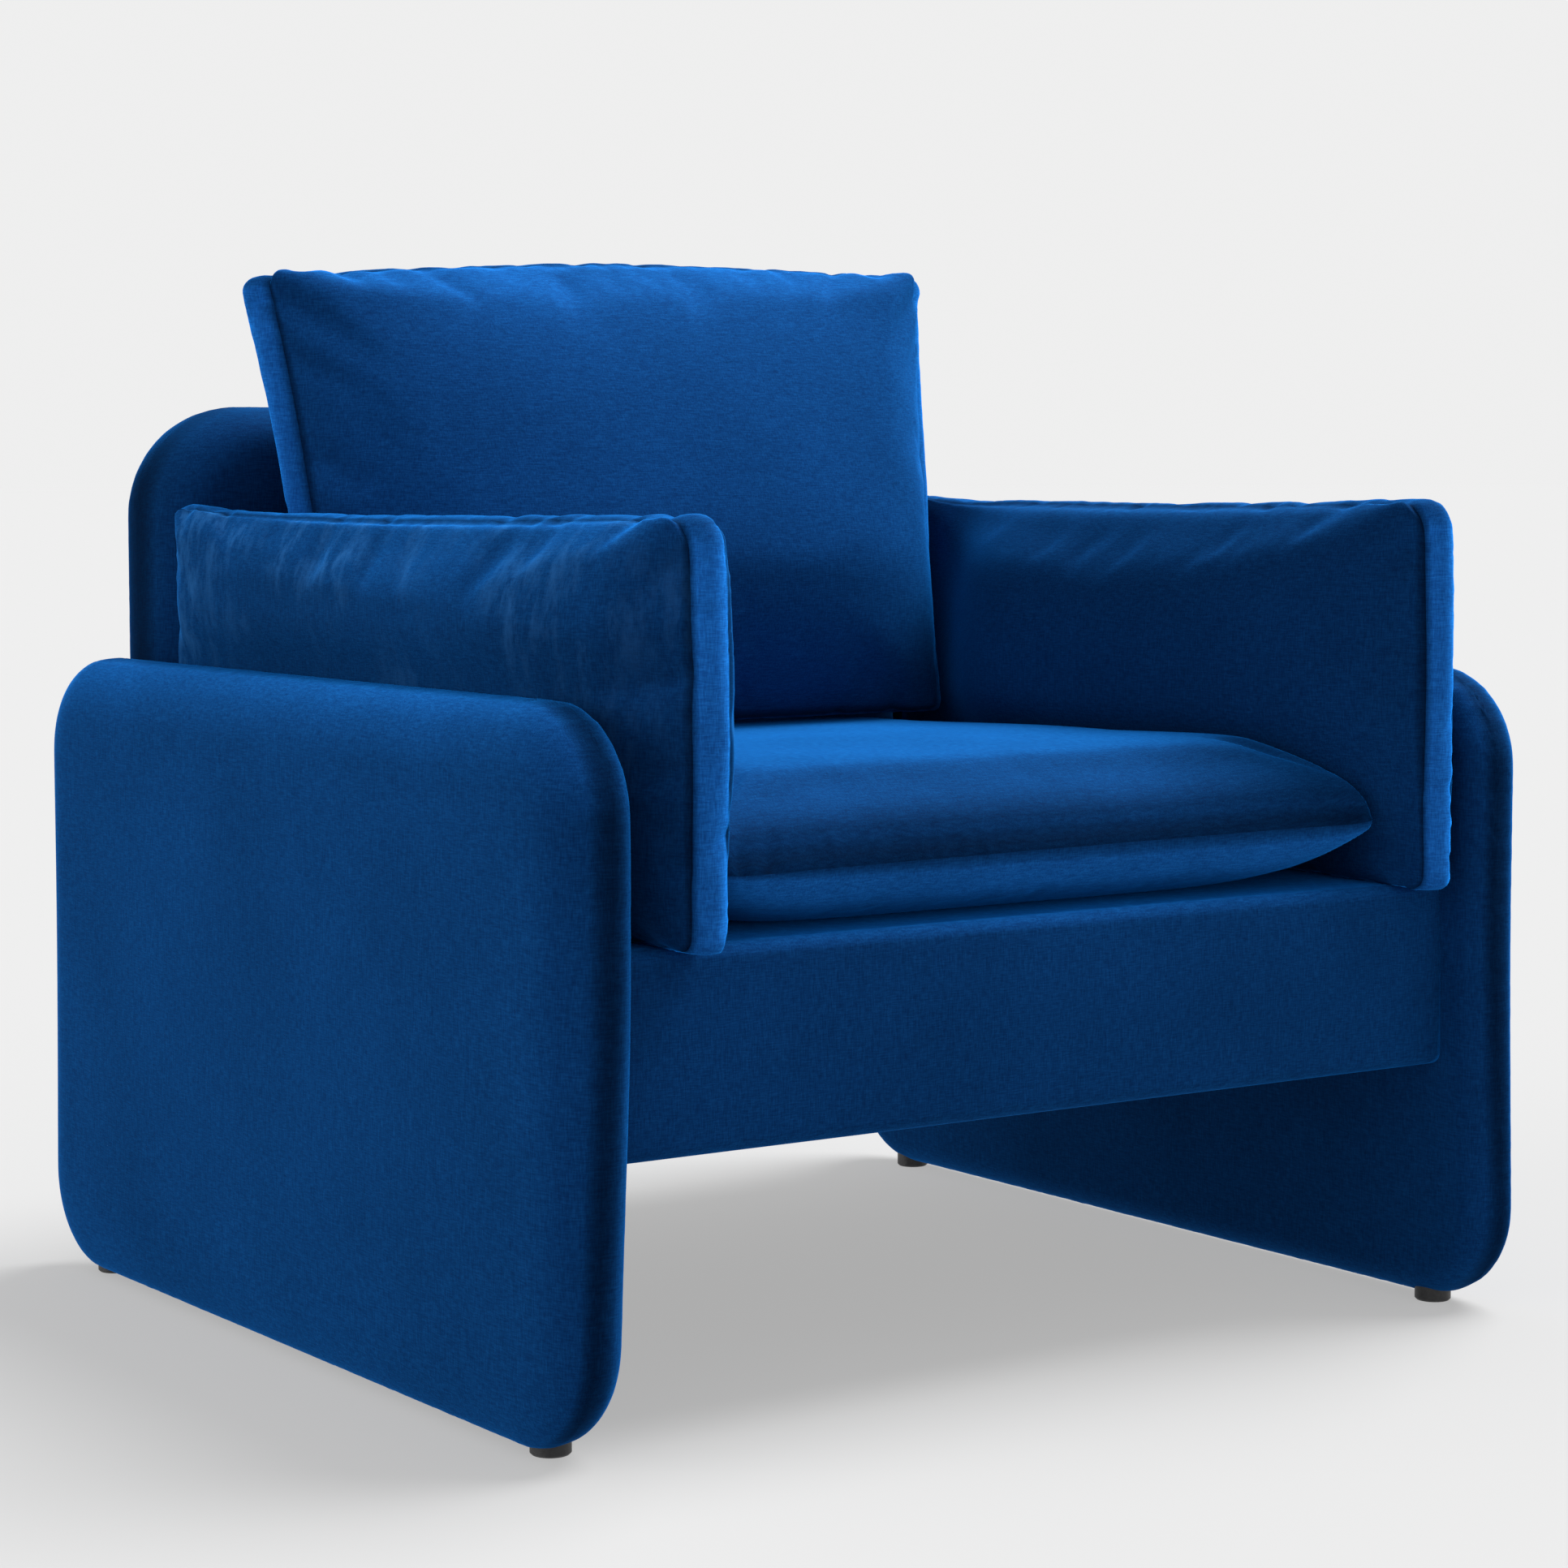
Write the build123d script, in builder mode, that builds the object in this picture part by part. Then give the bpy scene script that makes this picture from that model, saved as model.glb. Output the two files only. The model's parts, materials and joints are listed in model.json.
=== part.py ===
"""Upholstered armchair: two slab arms that stand on the floor, a seat box and a back panel between
them, and four loose parts: seat cushion, back cushion and two arm pillows.

Millimetres, +Z up. The origin is on the floor at the middle of the chair. The sitter faces -Y.
"""
from build123d import *
from math import cos, radians, sin
import os

os.makedirs("parts", exist_ok=True)

# ---- driving dimensions -------------------------------------------------------------------------
chair_width = 928
chair_depth = 878
arm_height = 533
arm_thickness = 62
arm_corner_radius = 82
arm_outer_roll = 34
arm_inner_roll = 18

foot_clearance = 4
foot_diameter = 30
foot_inset = 74

seat_base_bottom = 207
seat_base_top = 355
apron_front_y = -397

back_half_width = 394
back_front_y = 320
back_rear_y = 426
back_top = 748
back_top_radius = 97
back_bottom_radius = 24
back_roll = 30

cover_thickness = 2
side_wadding = 6
foam_over_edges = 20
foam_over_faces = 11
timber_corner_radius = 50
board_thickness = 6
rail_width = 60

seat_rail_thickness = 30
seat_rail_bottom = 213
seat_rail_top = 323
webbing_thickness = 1.6
webbing_width = 60
apron_foam_thickness = 10
apron_edge_radius = 5
corner_block_size = 60

bolt_diameter = 8
bolt_hole_diameter = 8.6
bolt_height = 278

seat_cushion_width = 630
seat_cushion_front_y = -404
seat_cushion_rear_y = 316
seat_cushion_height = 119
back_cushion_length = 402
back_cushion_lean = 10.8
back_cushion_foot_y = 182
pillow_length = 732
pillow_top = 671
gusset_width = 30
left_pillow_front_x = 338
right_pillow_front_x = 361
play = 0.4

# ---- sizes that follow --------------------------------------------------------------------------
half_width = chair_width / 2
arm_inner_x = half_width - arm_thickness
arm_body_height = arm_height - foot_clearance
arm_middle_z = foot_clearance + arm_body_height / 2
back_thickness = back_rear_y - back_front_y
back_height = back_top - seat_base_bottom
back_middle_z = seat_base_bottom + back_height / 2
sides = {"left": -1, "right": 1}


def save(part, name):
    """Label a finished piece and write its file."""
    part.label = name
    export_step(part, "parts/" + name + ".step")


def mirrored_to(side, part):
    """A piece modelled on the right stays there for side 1, and is mirrored to the left for -1."""
    return part if side > 0 else mirror(part, Plane.YZ)


# ---- arms ---------------------------------------------------------------------------------------
def arm_slab(inset):
    """The right arm's outline, drawn in by an even inset: a slab with rounded corners and edges."""
    with BuildPart() as slab:
        with BuildSketch(Plane.YZ.offset(arm_inner_x + inset)):
            with Locations((0, arm_middle_z)):
                RectangleRounded(
                    chair_depth - 2 * inset, arm_body_height - 2 * inset, arm_corner_radius - inset
                )
        extrude(amount=arm_thickness - 2 * inset)
        outer_edges = slab.faces().sort_by(Axis.X)[-1].edges()
        inner_edges = slab.faces().sort_by(Axis.X)[0].edges()
        fillet(outer_edges, radius=arm_outer_roll - inset)
        fillet(inner_edges, radius=arm_inner_roll - inset)
    return slab.part


def arm_frame_layer(start_x, thickness):
    """One layer of the right arm's timber frame: the full outline inside the foam."""
    edge = cover_thickness + foam_over_edges
    with BuildPart() as layer:
        with BuildSketch(Plane.YZ.offset(start_x)):
            with Locations((0, arm_middle_z)):
                RectangleRounded(
                    chair_depth - 2 * edge, arm_body_height - 2 * edge, timber_corner_radius
                )
        extrude(amount=thickness)
    return layer.part


frame_start_x = arm_inner_x + cover_thickness + side_wadding
frame_thickness = arm_thickness - 2 * cover_thickness - side_wadding - foam_over_faces
rail_start_x = frame_start_x + board_thickness
rail_thickness = frame_thickness - 2 * board_thickness
outer_board_x = rail_start_x + rail_thickness
frame_half_depth = chair_depth / 2 - cover_thickness - foam_over_edges
frame_bottom = foot_clearance + cover_thickness + foam_over_edges
frame_top = arm_height - cover_thickness - foam_over_edges
rail_middle_x = rail_start_x + rail_thickness / 2
post_middle_y = frame_half_depth - rail_width / 2
bolt_y_places = (-260, -30, 200)
arm_bolt_length = 62
insert_length = 18
insert_diameter = 12
bolt_hole_start_x = arm_inner_x - 60
bolt_hole_end_x = rail_start_x + insert_length + 2
foot_y_places = (-chair_depth / 2 + foot_inset, chair_depth / 2 - foot_inset)
foot_top = frame_bottom
foot_screw_radius = 2.4
foot_screw_length = 55
screw_seat_z = 6
screw_head_radius = 4.5
screw_head_thickness = 3


def arm_bolt_hole(part, diameter):
    """Bore a right-hand piece for the bolts between seat box and arm."""
    with BuildPart() as bored:
        add(part)
        with BuildSketch(Plane.YZ.offset(bolt_hole_start_x)):
            for y in bolt_y_places:
                with Locations((y, bolt_height)):
                    Circle(diameter / 2)
        extrude(amount=bolt_hole_end_x - bolt_hole_start_x, mode=Mode.SUBTRACT)
    return bored.part


def foot_hole(part, radius, depth):
    """Bore a right-hand piece from below for the two feet of its arm, or for their screws."""
    with BuildPart() as bored:
        add(part)
        with BuildSketch(Plane.XY):
            for y in foot_y_places:
                with Locations((rail_middle_x, y)):
                    Circle(radius)
        extrude(amount=depth, mode=Mode.SUBTRACT)
    return bored.part


def rail_piece(centre, size):
    """A rail of the right arm's frame, cut to the frame's rounded outline."""
    with BuildPart() as rail:
        add(arm_frame_layer(rail_start_x, rail_thickness))
        with Locations(centre):
            Box(*size, mode=Mode.INTERSECT)
    return rail.part


cross_length = 2 * (frame_half_depth - rail_width)
post_height = frame_top - frame_bottom
post_size = (rail_thickness, rail_width, post_height)
front_post = rail_piece((rail_middle_x, -post_middle_y, arm_middle_z), post_size)
rear_post = rail_piece((rail_middle_x, post_middle_y, arm_middle_z), post_size)
screw_tip_z = screw_seat_z + foot_screw_length
arm_rails = {
    "front_post": foot_hole(front_post, foot_screw_radius, screw_tip_z + 1),
    "rear_post": foot_hole(rear_post, foot_screw_radius, screw_tip_z + 1),
    "top_rail": rail_piece(
        (rail_middle_x, 0, frame_top - rail_width / 2), (rail_thickness, cross_length, rail_width)
    ),
    "bottom_rail": rail_piece(
        (rail_middle_x, 0, frame_bottom + rail_width / 2), (rail_thickness, cross_length, rail_width)
    ),
    "bolt_rail": arm_bolt_hole(
        rail_piece((rail_middle_x, 0, bolt_height), (rail_thickness, cross_length, rail_width)),
        insert_diameter,
    ),
}

with BuildPart() as arm_foam:
    add(arm_slab(cover_thickness))
    add(arm_frame_layer(frame_start_x, frame_thickness), mode=Mode.SUBTRACT)

with BuildPart() as arm_cover:
    add(arm_slab(0))
    add(arm_slab(cover_thickness), mode=Mode.SUBTRACT)

for side_name, side in sides.items():
    for rail_name, rail in arm_rails.items():
        save(mirrored_to(side, rail), side_name + "_arm_" + rail_name)
    inner_board = arm_bolt_hole(arm_frame_layer(frame_start_x, board_thickness), bolt_hole_diameter)
    save(mirrored_to(side, inner_board), side_name + "_arm_inner_board")
    outer_board = arm_frame_layer(outer_board_x, board_thickness)
    save(mirrored_to(side, outer_board), side_name + "_arm_outer_board")
    foam = foot_hole(arm_bolt_hole(arm_foam.part, bolt_hole_diameter), foot_diameter / 2, foot_top)
    save(mirrored_to(side, foam), side_name + "_arm_foam")
    cover = foot_hole(arm_bolt_hole(arm_cover.part, bolt_hole_diameter), foot_diameter / 2, foot_top)
    save(mirrored_to(side, cover), side_name + "_arm_cover")

# ---- feet ---------------------------------------------------------------------------------------
foot_places = {}
for side_name, side in sides.items():
    for end_name, y in zip(("front", "rear"), foot_y_places):
        foot_places[side_name + "_" + end_name + "_foot"] = (side * rail_middle_x, y)

for foot_name, place in foot_places.items():
    with BuildPart() as foot:
        with BuildSketch(Plane.XY):
            with Locations(place):
                Circle(foot_diameter / 2)
        extrude(amount=foot_top)
        chamfer(foot.faces().sort_by(Axis.Z)[0].edges(), length=1.5)
        with BuildSketch(Plane.XY):
            with Locations(place):
                Circle(foot_screw_radius)
        extrude(amount=foot_top, mode=Mode.SUBTRACT)
        with BuildSketch(Plane.XY):
            with Locations(place):
                Circle(screw_head_radius)
        extrude(amount=screw_seat_z, mode=Mode.SUBTRACT)
    save(foot.part, foot_name)

with BuildPart() as foot_screws:
    for place in foot_places.values():
        with BuildSketch(Plane.XY.offset(screw_seat_z - screw_head_thickness)):
            with Locations(place):
                Circle(screw_head_radius - 0.2)
        extrude(amount=screw_head_thickness)
        with BuildSketch(Plane.XY.offset(screw_seat_z)):
            with Locations(place):
                Circle(foot_screw_radius)
        extrude(amount=foot_screw_length)
save(foot_screws.part, "foot_screws")

# ---- seat box -----------------------------------------------------------------------------------
side_rail_x = arm_inner_x - play - seat_rail_thickness / 2
front_rail_y = apron_front_y + cover_thickness + apron_foam_thickness + seat_rail_thickness / 2
rear_rail_y = back_front_y - play - seat_rail_thickness / 2
rail_height = seat_rail_top - seat_rail_bottom
rail_middle_z = (seat_rail_top + seat_rail_bottom) / 2
side_rail_front = front_rail_y - seat_rail_thickness / 2
side_rail_rear = rear_rail_y + seat_rail_thickness / 2
side_rail_length = side_rail_rear - side_rail_front
side_rail_y = (side_rail_front + side_rail_rear) / 2
inner_span = 2 * (side_rail_x - seat_rail_thickness / 2)
back_bolt_x_places = (-250, 250)

with BuildPart() as side_rail_blank:
    with Locations((side_rail_x, side_rail_y, rail_middle_z)):
        Box(seat_rail_thickness, side_rail_length, rail_height)
side_rail = arm_bolt_hole(side_rail_blank.part, bolt_hole_diameter)
for side_name, side in sides.items():
    save(mirrored_to(side, side_rail), "seat_" + side_name + "_rail")

with BuildPart() as front_rail:
    with Locations((0, front_rail_y, rail_middle_z)):
        Box(inner_span, seat_rail_thickness, rail_height)
save(front_rail.part, "seat_front_rail")

with BuildPart() as rear_rail:
    with Locations((0, rear_rail_y, rail_middle_z)):
        Box(inner_span, seat_rail_thickness, rail_height)
    with BuildSketch(Plane.XZ.offset(-back_front_y)):
        for x in back_bolt_x_places:
            with Locations((x, bolt_height)):
                Circle(bolt_hole_diameter / 2)
    extrude(amount=seat_rail_thickness * 2, mode=Mode.SUBTRACT)
save(rear_rail.part, "seat_rear_rail")

inner_front = front_rail_y + seat_rail_thickness / 2
inner_rear = rear_rail_y - seat_rail_thickness / 2
with BuildPart() as corner_blocks:
    with BuildSketch(Plane.XY.offset(seat_rail_bottom + 10)):
        for x_side in (-1, 1):
            for corner_y, y_side in ((inner_front, 1), (inner_rear, -1)):
                corner_x = x_side * inner_span / 2
                with BuildLine():
                    Polyline(
                        (corner_x, corner_y),
                        (corner_x - x_side * corner_block_size, corner_y),
                        (corner_x, corner_y + y_side * corner_block_size),
                        close=True,
                    )
                make_face()
    extrude(amount=rail_height - 30)
save(corner_blocks.part, "seat_corner_blocks")

strap_span_x = 2 * (arm_inner_x - play)
strap_y_start = side_rail_front + 4
strap_y_end = side_rail_rear - 4
long_strap_count = 5
cross_strap_count = 5
with BuildPart() as long_webbing:
    with Locations((0, side_rail_y, seat_rail_top + webbing_thickness / 2)):
        with GridLocations(inner_span / long_strap_count, 0, long_strap_count, 1):
            Box(webbing_width, strap_y_end - strap_y_start, webbing_thickness)
save(long_webbing.part, "seat_webbing_lengthwise")

with BuildPart() as cross_webbing:
    with Locations((0, side_rail_y, seat_rail_top + 1.5 * webbing_thickness)):
        with GridLocations(0, inner_rear / cross_strap_count * 2, 1, cross_strap_count):
            Box(strap_span_x - 8, webbing_width, webbing_thickness)
save(cross_webbing.part, "seat_webbing_crosswise")

deck_bottom = seat_rail_top + 2 * webbing_thickness
deck_foam_top = seat_base_top - cover_thickness
apron_inner_y = apron_front_y + cover_thickness
with BuildPart() as deck_foam:
    with BuildSketch(Plane.XY.offset(deck_bottom)):
        with Locations((0, (side_rail_front + side_rail_rear) / 2)):
            Rectangle(strap_span_x, side_rail_length)
    extrude(amount=deck_foam_top - deck_bottom)
save(deck_foam.part, "seat_deck_foam")

with BuildPart() as apron_foam:
    with BuildSketch(Plane.YZ.offset(-strap_span_x / 2)):
        with BuildLine():
            Polyline(
                (side_rail_front, seat_base_bottom + cover_thickness),
                (side_rail_front, deck_foam_top),
                (apron_inner_y, deck_foam_top),
                (apron_inner_y, seat_base_bottom + cover_thickness),
                close=True,
            )
        make_face()
    extrude(amount=strap_span_x)
    outer_edges = apron_foam.edges().filter_by(Axis.X).group_by(Axis.Y)[0]
    fillet(outer_edges, radius=apron_edge_radius)
save(apron_foam.part, "apron_foam")

underside_return = 60


def base_section(drawn_in, rear_y, front_radius):
    """The seat box in side section, extruded between the arms: only its front corners are rounded."""
    middle_y = (apron_front_y + drawn_in + rear_y) / 2
    middle_z = (seat_base_bottom + seat_base_top) / 2
    with BuildPart() as block:
        with BuildSketch(Plane.YZ.offset(-strap_span_x / 2)) as section:
            with Locations((middle_y, middle_z)):
                Rectangle(
                    rear_y - apron_front_y - drawn_in, seat_base_top - seat_base_bottom - 2 * drawn_in
                )
            fillet(section.vertices().group_by(Axis.X)[0], radius=front_radius)
        extrude(amount=strap_span_x)
    return block.part


with BuildPart() as seat_base_cover:
    add(base_section(0, side_rail_rear, apron_edge_radius + cover_thickness))
    add(base_section(cover_thickness, side_rail_rear + 10, apron_edge_radius), mode=Mode.SUBTRACT)
    open_length = side_rail_rear - side_rail_front - underside_return
    with Locations((0, side_rail_rear - open_length / 2, seat_base_bottom)):
        Box(strap_span_x + 2, open_length, 4 * cover_thickness, mode=Mode.SUBTRACT)
save(seat_base_cover.part, "seat_base_cover")

dust_cover_thickness = 1
with BuildPart() as dust_cover:
    with BuildSketch(Plane.XY.offset(seat_rail_bottom - dust_cover_thickness)):
        with Locations((0, side_rail_y)):
            Rectangle(strap_span_x - 6, side_rail_length - 6)
    extrude(amount=dust_cover_thickness)
save(dust_cover.part, "dust_cover")


# ---- back panel ---------------------------------------------------------------------------------
def back_outline(front_y, thickness, edge, roll):
    """The back panel's outline drawn in by an edge distance, with rounded top corners and rolls."""
    with BuildPart() as slab:
        with BuildSketch(Plane.XZ.offset(-front_y)) as outline:
            with Locations((0, back_middle_z)):
                Rectangle(2 * (back_half_width - edge), back_height - 2 * edge)
            top_corners = outline.vertices().group_by(Axis.Y)[-1]
            fillet(top_corners, radius=back_top_radius - edge)
            bottom_corners = outline.vertices().sort_by(Axis.Y)[0:2]
            fillet(bottom_corners, radius=max(back_bottom_radius - edge, 2))
        extrude(amount=-thickness)
        if roll > 0:
            fillet(slab.faces().sort_by(Axis.Y)[0].edges(), radius=roll)
            fillet(slab.faces().sort_by(Axis.Y)[-1].edges(), radius=roll)
    return slab.part


back_frame_edge = cover_thickness + 16
back_frame_y = back_front_y + cover_thickness + 22
back_frame_thickness = back_thickness - 2 * cover_thickness - 2 * 22
back_rail_y = back_frame_y + board_thickness
back_rail_thickness = back_frame_thickness - board_thickness
back_inner_half_width = back_half_width - back_frame_edge
back_frame_bottom = seat_base_bottom + back_frame_edge
back_frame_top = back_top - back_frame_edge
back_cross_length = 2 * (back_inner_half_width - rail_width)
back_rail_middle_y = back_rail_y + back_rail_thickness / 2
back_bolt_length = 90


def back_member(centre, size):
    """A member of the back frame, cut to the frame's rounded outline."""
    with BuildPart() as member:
        add(back_outline(back_rail_y, back_rail_thickness, back_frame_edge, 0))
        with Locations(centre):
            Box(*size, mode=Mode.INTERSECT)
    return member.part


def back_bolt_hole(part, diameter, depth):
    """Bore a piece of the back from its front for the two bolts from the seat's rear rail."""
    with BuildPart() as bored:
        add(part)
        with BuildSketch(Plane.XZ.offset(-back_front_y)):
            for x in back_bolt_x_places:
                with Locations((x, bolt_height)):
                    Circle(diameter / 2)
        extrude(amount=-depth, mode=Mode.SUBTRACT)
    return bored.part


post_x = back_inner_half_width - rail_width / 2
for side_name, side in sides.items():
    post = back_member(
        (side * post_x, back_rail_middle_y, back_middle_z), (rail_width, back_rail_thickness, back_height)
    )
    save(post, "back_" + side_name + "_post")

top_rail = back_member(
    (0, back_rail_middle_y, back_frame_top - rail_width / 2),
    (back_cross_length, back_rail_thickness, rail_width),
)
save(top_rail, "back_top_rail")

back_bolt_depth = back_bolt_length - seat_rail_thickness
bottom_rail_height = 2 * (bolt_height - back_frame_bottom)
bottom_rail_blank = back_member(
    (0, back_rail_middle_y, bolt_height), (back_cross_length, back_rail_thickness, bottom_rail_height)
)
bottom_rail = back_bolt_hole(bottom_rail_blank, insert_diameter, back_bolt_depth)
save(bottom_rail, "back_bottom_rail")

back_board_blank = back_outline(back_frame_y, board_thickness, back_frame_edge, 0)
back_board = back_bolt_hole(back_board_blank, bolt_hole_diameter, back_bolt_depth)
save(back_board, "back_front_board")

with BuildPart() as back_foam:
    add(back_outline(back_front_y + cover_thickness, back_thickness - 2 * cover_thickness,
                     cover_thickness, back_roll - cover_thickness))
    add(back_outline(back_frame_y, back_frame_thickness, back_frame_edge, 0), mode=Mode.SUBTRACT)
save(back_bolt_hole(back_foam.part, bolt_hole_diameter, back_bolt_depth), "back_foam")

with BuildPart() as back_cover:
    add(back_outline(back_front_y, back_thickness, 0, back_roll))
    add(back_outline(back_front_y + cover_thickness, back_thickness - 2 * cover_thickness,
                     cover_thickness, back_roll - cover_thickness), mode=Mode.SUBTRACT)
save(back_bolt_hole(back_cover.part, bolt_hole_diameter, back_bolt_depth), "back_cover")

# ---- bolts, washers and threaded inserts ----------------------------------------------------------
head_thickness = 5.3
head_across_flats = 13
washer_thickness = 1.6
washer_radius = 12
bolt_radius = bolt_diameter / 2
insert_bore = bolt_radius + 0.05


def bolt(plane, length):
    """A hexagon-head bolt whose washer seat is at the plane and whose shank runs along its normal."""
    with BuildPart() as made:
        with BuildSketch(plane.offset(-washer_thickness - head_thickness)):
            RegularPolygon(head_across_flats / 2, 6, major_radius=False)
        extrude(amount=head_thickness)
        with BuildSketch(plane.offset(-washer_thickness)):
            Circle(bolt_radius)
        extrude(amount=length + washer_thickness)
        chamfer(made.faces().sort_by(Axis(plane.origin, plane.z_dir))[-1].edges(), length=1)
    return made.part


def washer(plane):
    """A plain washer lying just under a bolt head."""
    with BuildPart() as made:
        with BuildSketch(plane.offset(-washer_thickness)):
            Circle(washer_radius)
            Circle(bolt_radius + 0.3, mode=Mode.SUBTRACT)
        extrude(amount=washer_thickness)
    return made.part


def insert(plane, start):
    """A threaded insert sunk in timber at a distance along the plane's normal."""
    with BuildPart() as made:
        with BuildSketch(plane.offset(start)):
            Circle(insert_diameter / 2)
            Circle(insert_bore, mode=Mode.SUBTRACT)
        extrude(amount=insert_length)
    return made.part


arm_bolt_seats = []
for side in (-1, 1):
    seat_x = side * (side_rail_x - seat_rail_thickness / 2)
    for y in bolt_y_places:
        arm_bolt_seats.append(Plane((seat_x, y, bolt_height), x_dir=(0, 0, 1), z_dir=(side, 0, 0)))
back_bolt_seats = []
for x in back_bolt_x_places:
    seat = Plane((x, rear_rail_y - seat_rail_thickness / 2, bolt_height), x_dir=(0, 0, 1), z_dir=(0, 1, 0))
    back_bolt_seats.append(seat)
arm_insert_start = rail_start_x - side_rail_x + seat_rail_thickness / 2
back_insert_start = back_rail_y - rear_rail_y + seat_rail_thickness / 2

with BuildPart() as arm_bolts:
    for seat in arm_bolt_seats:
        add(bolt(seat, arm_bolt_length))
save(arm_bolts.part, "arm_bolts")

with BuildPart() as back_bolts:
    for seat in back_bolt_seats:
        add(bolt(seat, back_bolt_length))
save(back_bolts.part, "back_bolts")

with BuildPart() as washers:
    for seat in arm_bolt_seats + back_bolt_seats:
        add(washer(seat))
save(washers.part, "bolt_washers")

with BuildPart() as inserts:
    for seat in arm_bolt_seats:
        add(insert(seat, arm_insert_start))
    for seat in back_bolt_seats:
        add(insert(seat, back_insert_start))
save(inserts.part, "threaded_inserts")


# ---- loose cushions -----------------------------------------------------------------------------
def covered(name, outer, inner):
    """Save a cushion as a cover with a fitted insert inside it."""
    with BuildPart() as shell:
        add(outer)
        add(inner, mode=Mode.SUBTRACT)
    save(shell.part, name + "_cover")
    save(inner, name + "_insert")


def clamped(value, extent, inset):
    """A level kept inside a body that is drawn in by an inset at both ends."""
    return min(max(value, inset), extent - inset)


def seat_cushion_body(inset):
    """The seat cushion: flat below, widest at its seam, crowned on top."""
    middle_y = (seat_cushion_front_y + seat_cushion_rear_y) / 2
    length = seat_cushion_rear_y - seat_cushion_front_y
    levels = ((0, 50, 40), (43, 0, 20), (80, 36, 40), (104, 110, 60), (seat_cushion_height, 240, 60))
    with BuildPart() as body:
        for height, drawn_in, radius in levels:
            lift = clamped(height, seat_cushion_height, inset)
            width = seat_cushion_width - drawn_in - 2 * inset
            depth = length - drawn_in - 2 * inset
            with BuildSketch(Plane((0, middle_y, seat_base_top + play + lift))):
                RectangleRounded(width, depth, radius - inset)
        loft(ruled=True)
    return body.part


covered("seat_cushion", seat_cushion_body(0), seat_cushion_body(cover_thickness))

lean = radians(back_cushion_lean)
lean_up = Vector(0, sin(lean), cos(lean))
lean_front = Vector(0, -cos(lean), sin(lean))
seat_cushion_top = seat_base_top + play + seat_cushion_height
back_cushion_foot = Vector(0, back_cushion_foot_y, seat_cushion_top + 4)


def back_cushion_body(inset):
    """The back cushion: it leans, has a narrow gusset all round, and is narrower at its foot."""
    rear_belly = 82
    front_belly = 97
    sections = (
        (inset - rear_belly, 110, 215, 230, 220),
        (-58, 42, 270, 296, 300),
        (-gusset_width / 2, 0, 312, 331, 343),
        (gusset_width / 2, 0, 312, 331, 343),
        (68, 42, 270, 296, 300),
        (front_belly - inset, 110, 215, 230, 220),
    )
    with BuildPart() as body:
        for distance, drawn_in, foot_half, middle_half, top_half in sections:
            low = drawn_in + inset
            high = back_cushion_length - drawn_in - inset
            middle = back_cushion_length / 2
            centre = back_cushion_foot + lean_front * distance
            with BuildSketch(Plane(centre, x_dir=(1, 0, 0), z_dir=lean_front)):
                with BuildLine():
                    Polyline(
                        (foot_half - inset, low),
                        (middle_half - inset, middle),
                        (top_half - inset, high),
                        (inset - top_half, high),
                        (inset - middle_half, middle),
                        (inset - foot_half, low),
                        close=True,
                    )
                make_face()
        loft(ruled=True)
    return body.part


covered("back_cushion", back_cushion_body(0), back_cushion_body(cover_thickness))

pillow_front_y = -430
pillow_rear_y = pillow_front_y + pillow_length
pillow_height = pillow_top - seat_base_top - play
pillow_belly_x = 276
pillow_shoulder_x = 290
pillow_pinch_x = 346
pillow_outer_x = arm_inner_x - 4


def pillow_body(side, front_x, inset):
    """An arm pillow: thin at its gusset, full in the middle, pinched behind by the back cushion."""
    levels = (
        (0, 0.05), (38, 0.12), (80, 0.45), (140, 0.92), (200, 1.0), (262, 0.8), (300, 0.35),
        (pillow_height, 0.05),
    )
    seam_in = front_x - gusset_width / 2 + inset
    seam_out = front_x + gusset_width / 2 - inset
    outer = pillow_outer_x - inset
    front = pillow_front_y + inset
    rear = pillow_rear_y - inset
    with BuildPart() as body:
        for height, fullness in levels:
            shoulder = seam_in + (pillow_shoulder_x + inset - seam_in) * fullness
            belly = seam_in + (pillow_belly_x + inset - seam_in) * fullness
            out = seam_out + (outer - seam_out) * fullness
            lift = clamped(height, pillow_height, inset)
            with BuildSketch(Plane.XY.offset(seat_base_top + play + lift)):
                with BuildLine():
                    Polyline(
                        (side * seam_in, front),
                        (side * shoulder, front + 70),
                        (side * belly, front + 220),
                        (side * belly, front + 530),
                        (side * max(pillow_pinch_x + inset, belly), front + 630),
                        (side * (outer - gusset_width + inset), rear),
                        (side * (outer - 3), rear),
                        (side * max(out, outer - 12), rear - 150),
                        (side * out, front + 90),
                        (side * seam_out, front),
                        close=True,
                    )
                make_face()
        loft(ruled=True)
    return body.part


for side_name, side, front_x in (
    ("left", -1, left_pillow_front_x),
    ("right", 1, right_pillow_front_x),
):
    pillow_outside = pillow_body(side, front_x, 0)
    pillow_inside = pillow_body(side, front_x, cover_thickness)
    covered(side_name + "_pillow", pillow_outside, pillow_inside)
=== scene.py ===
"""Looks of the upholstered armchair: velvet slab arms, seat box and back panel, and loose cushions.

Everything is in metres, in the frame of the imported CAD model: +Z up, the sitter faces -Y.
"""
import json
import math
import bmesh
import bpy
import numpy as np
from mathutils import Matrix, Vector, noise


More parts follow.
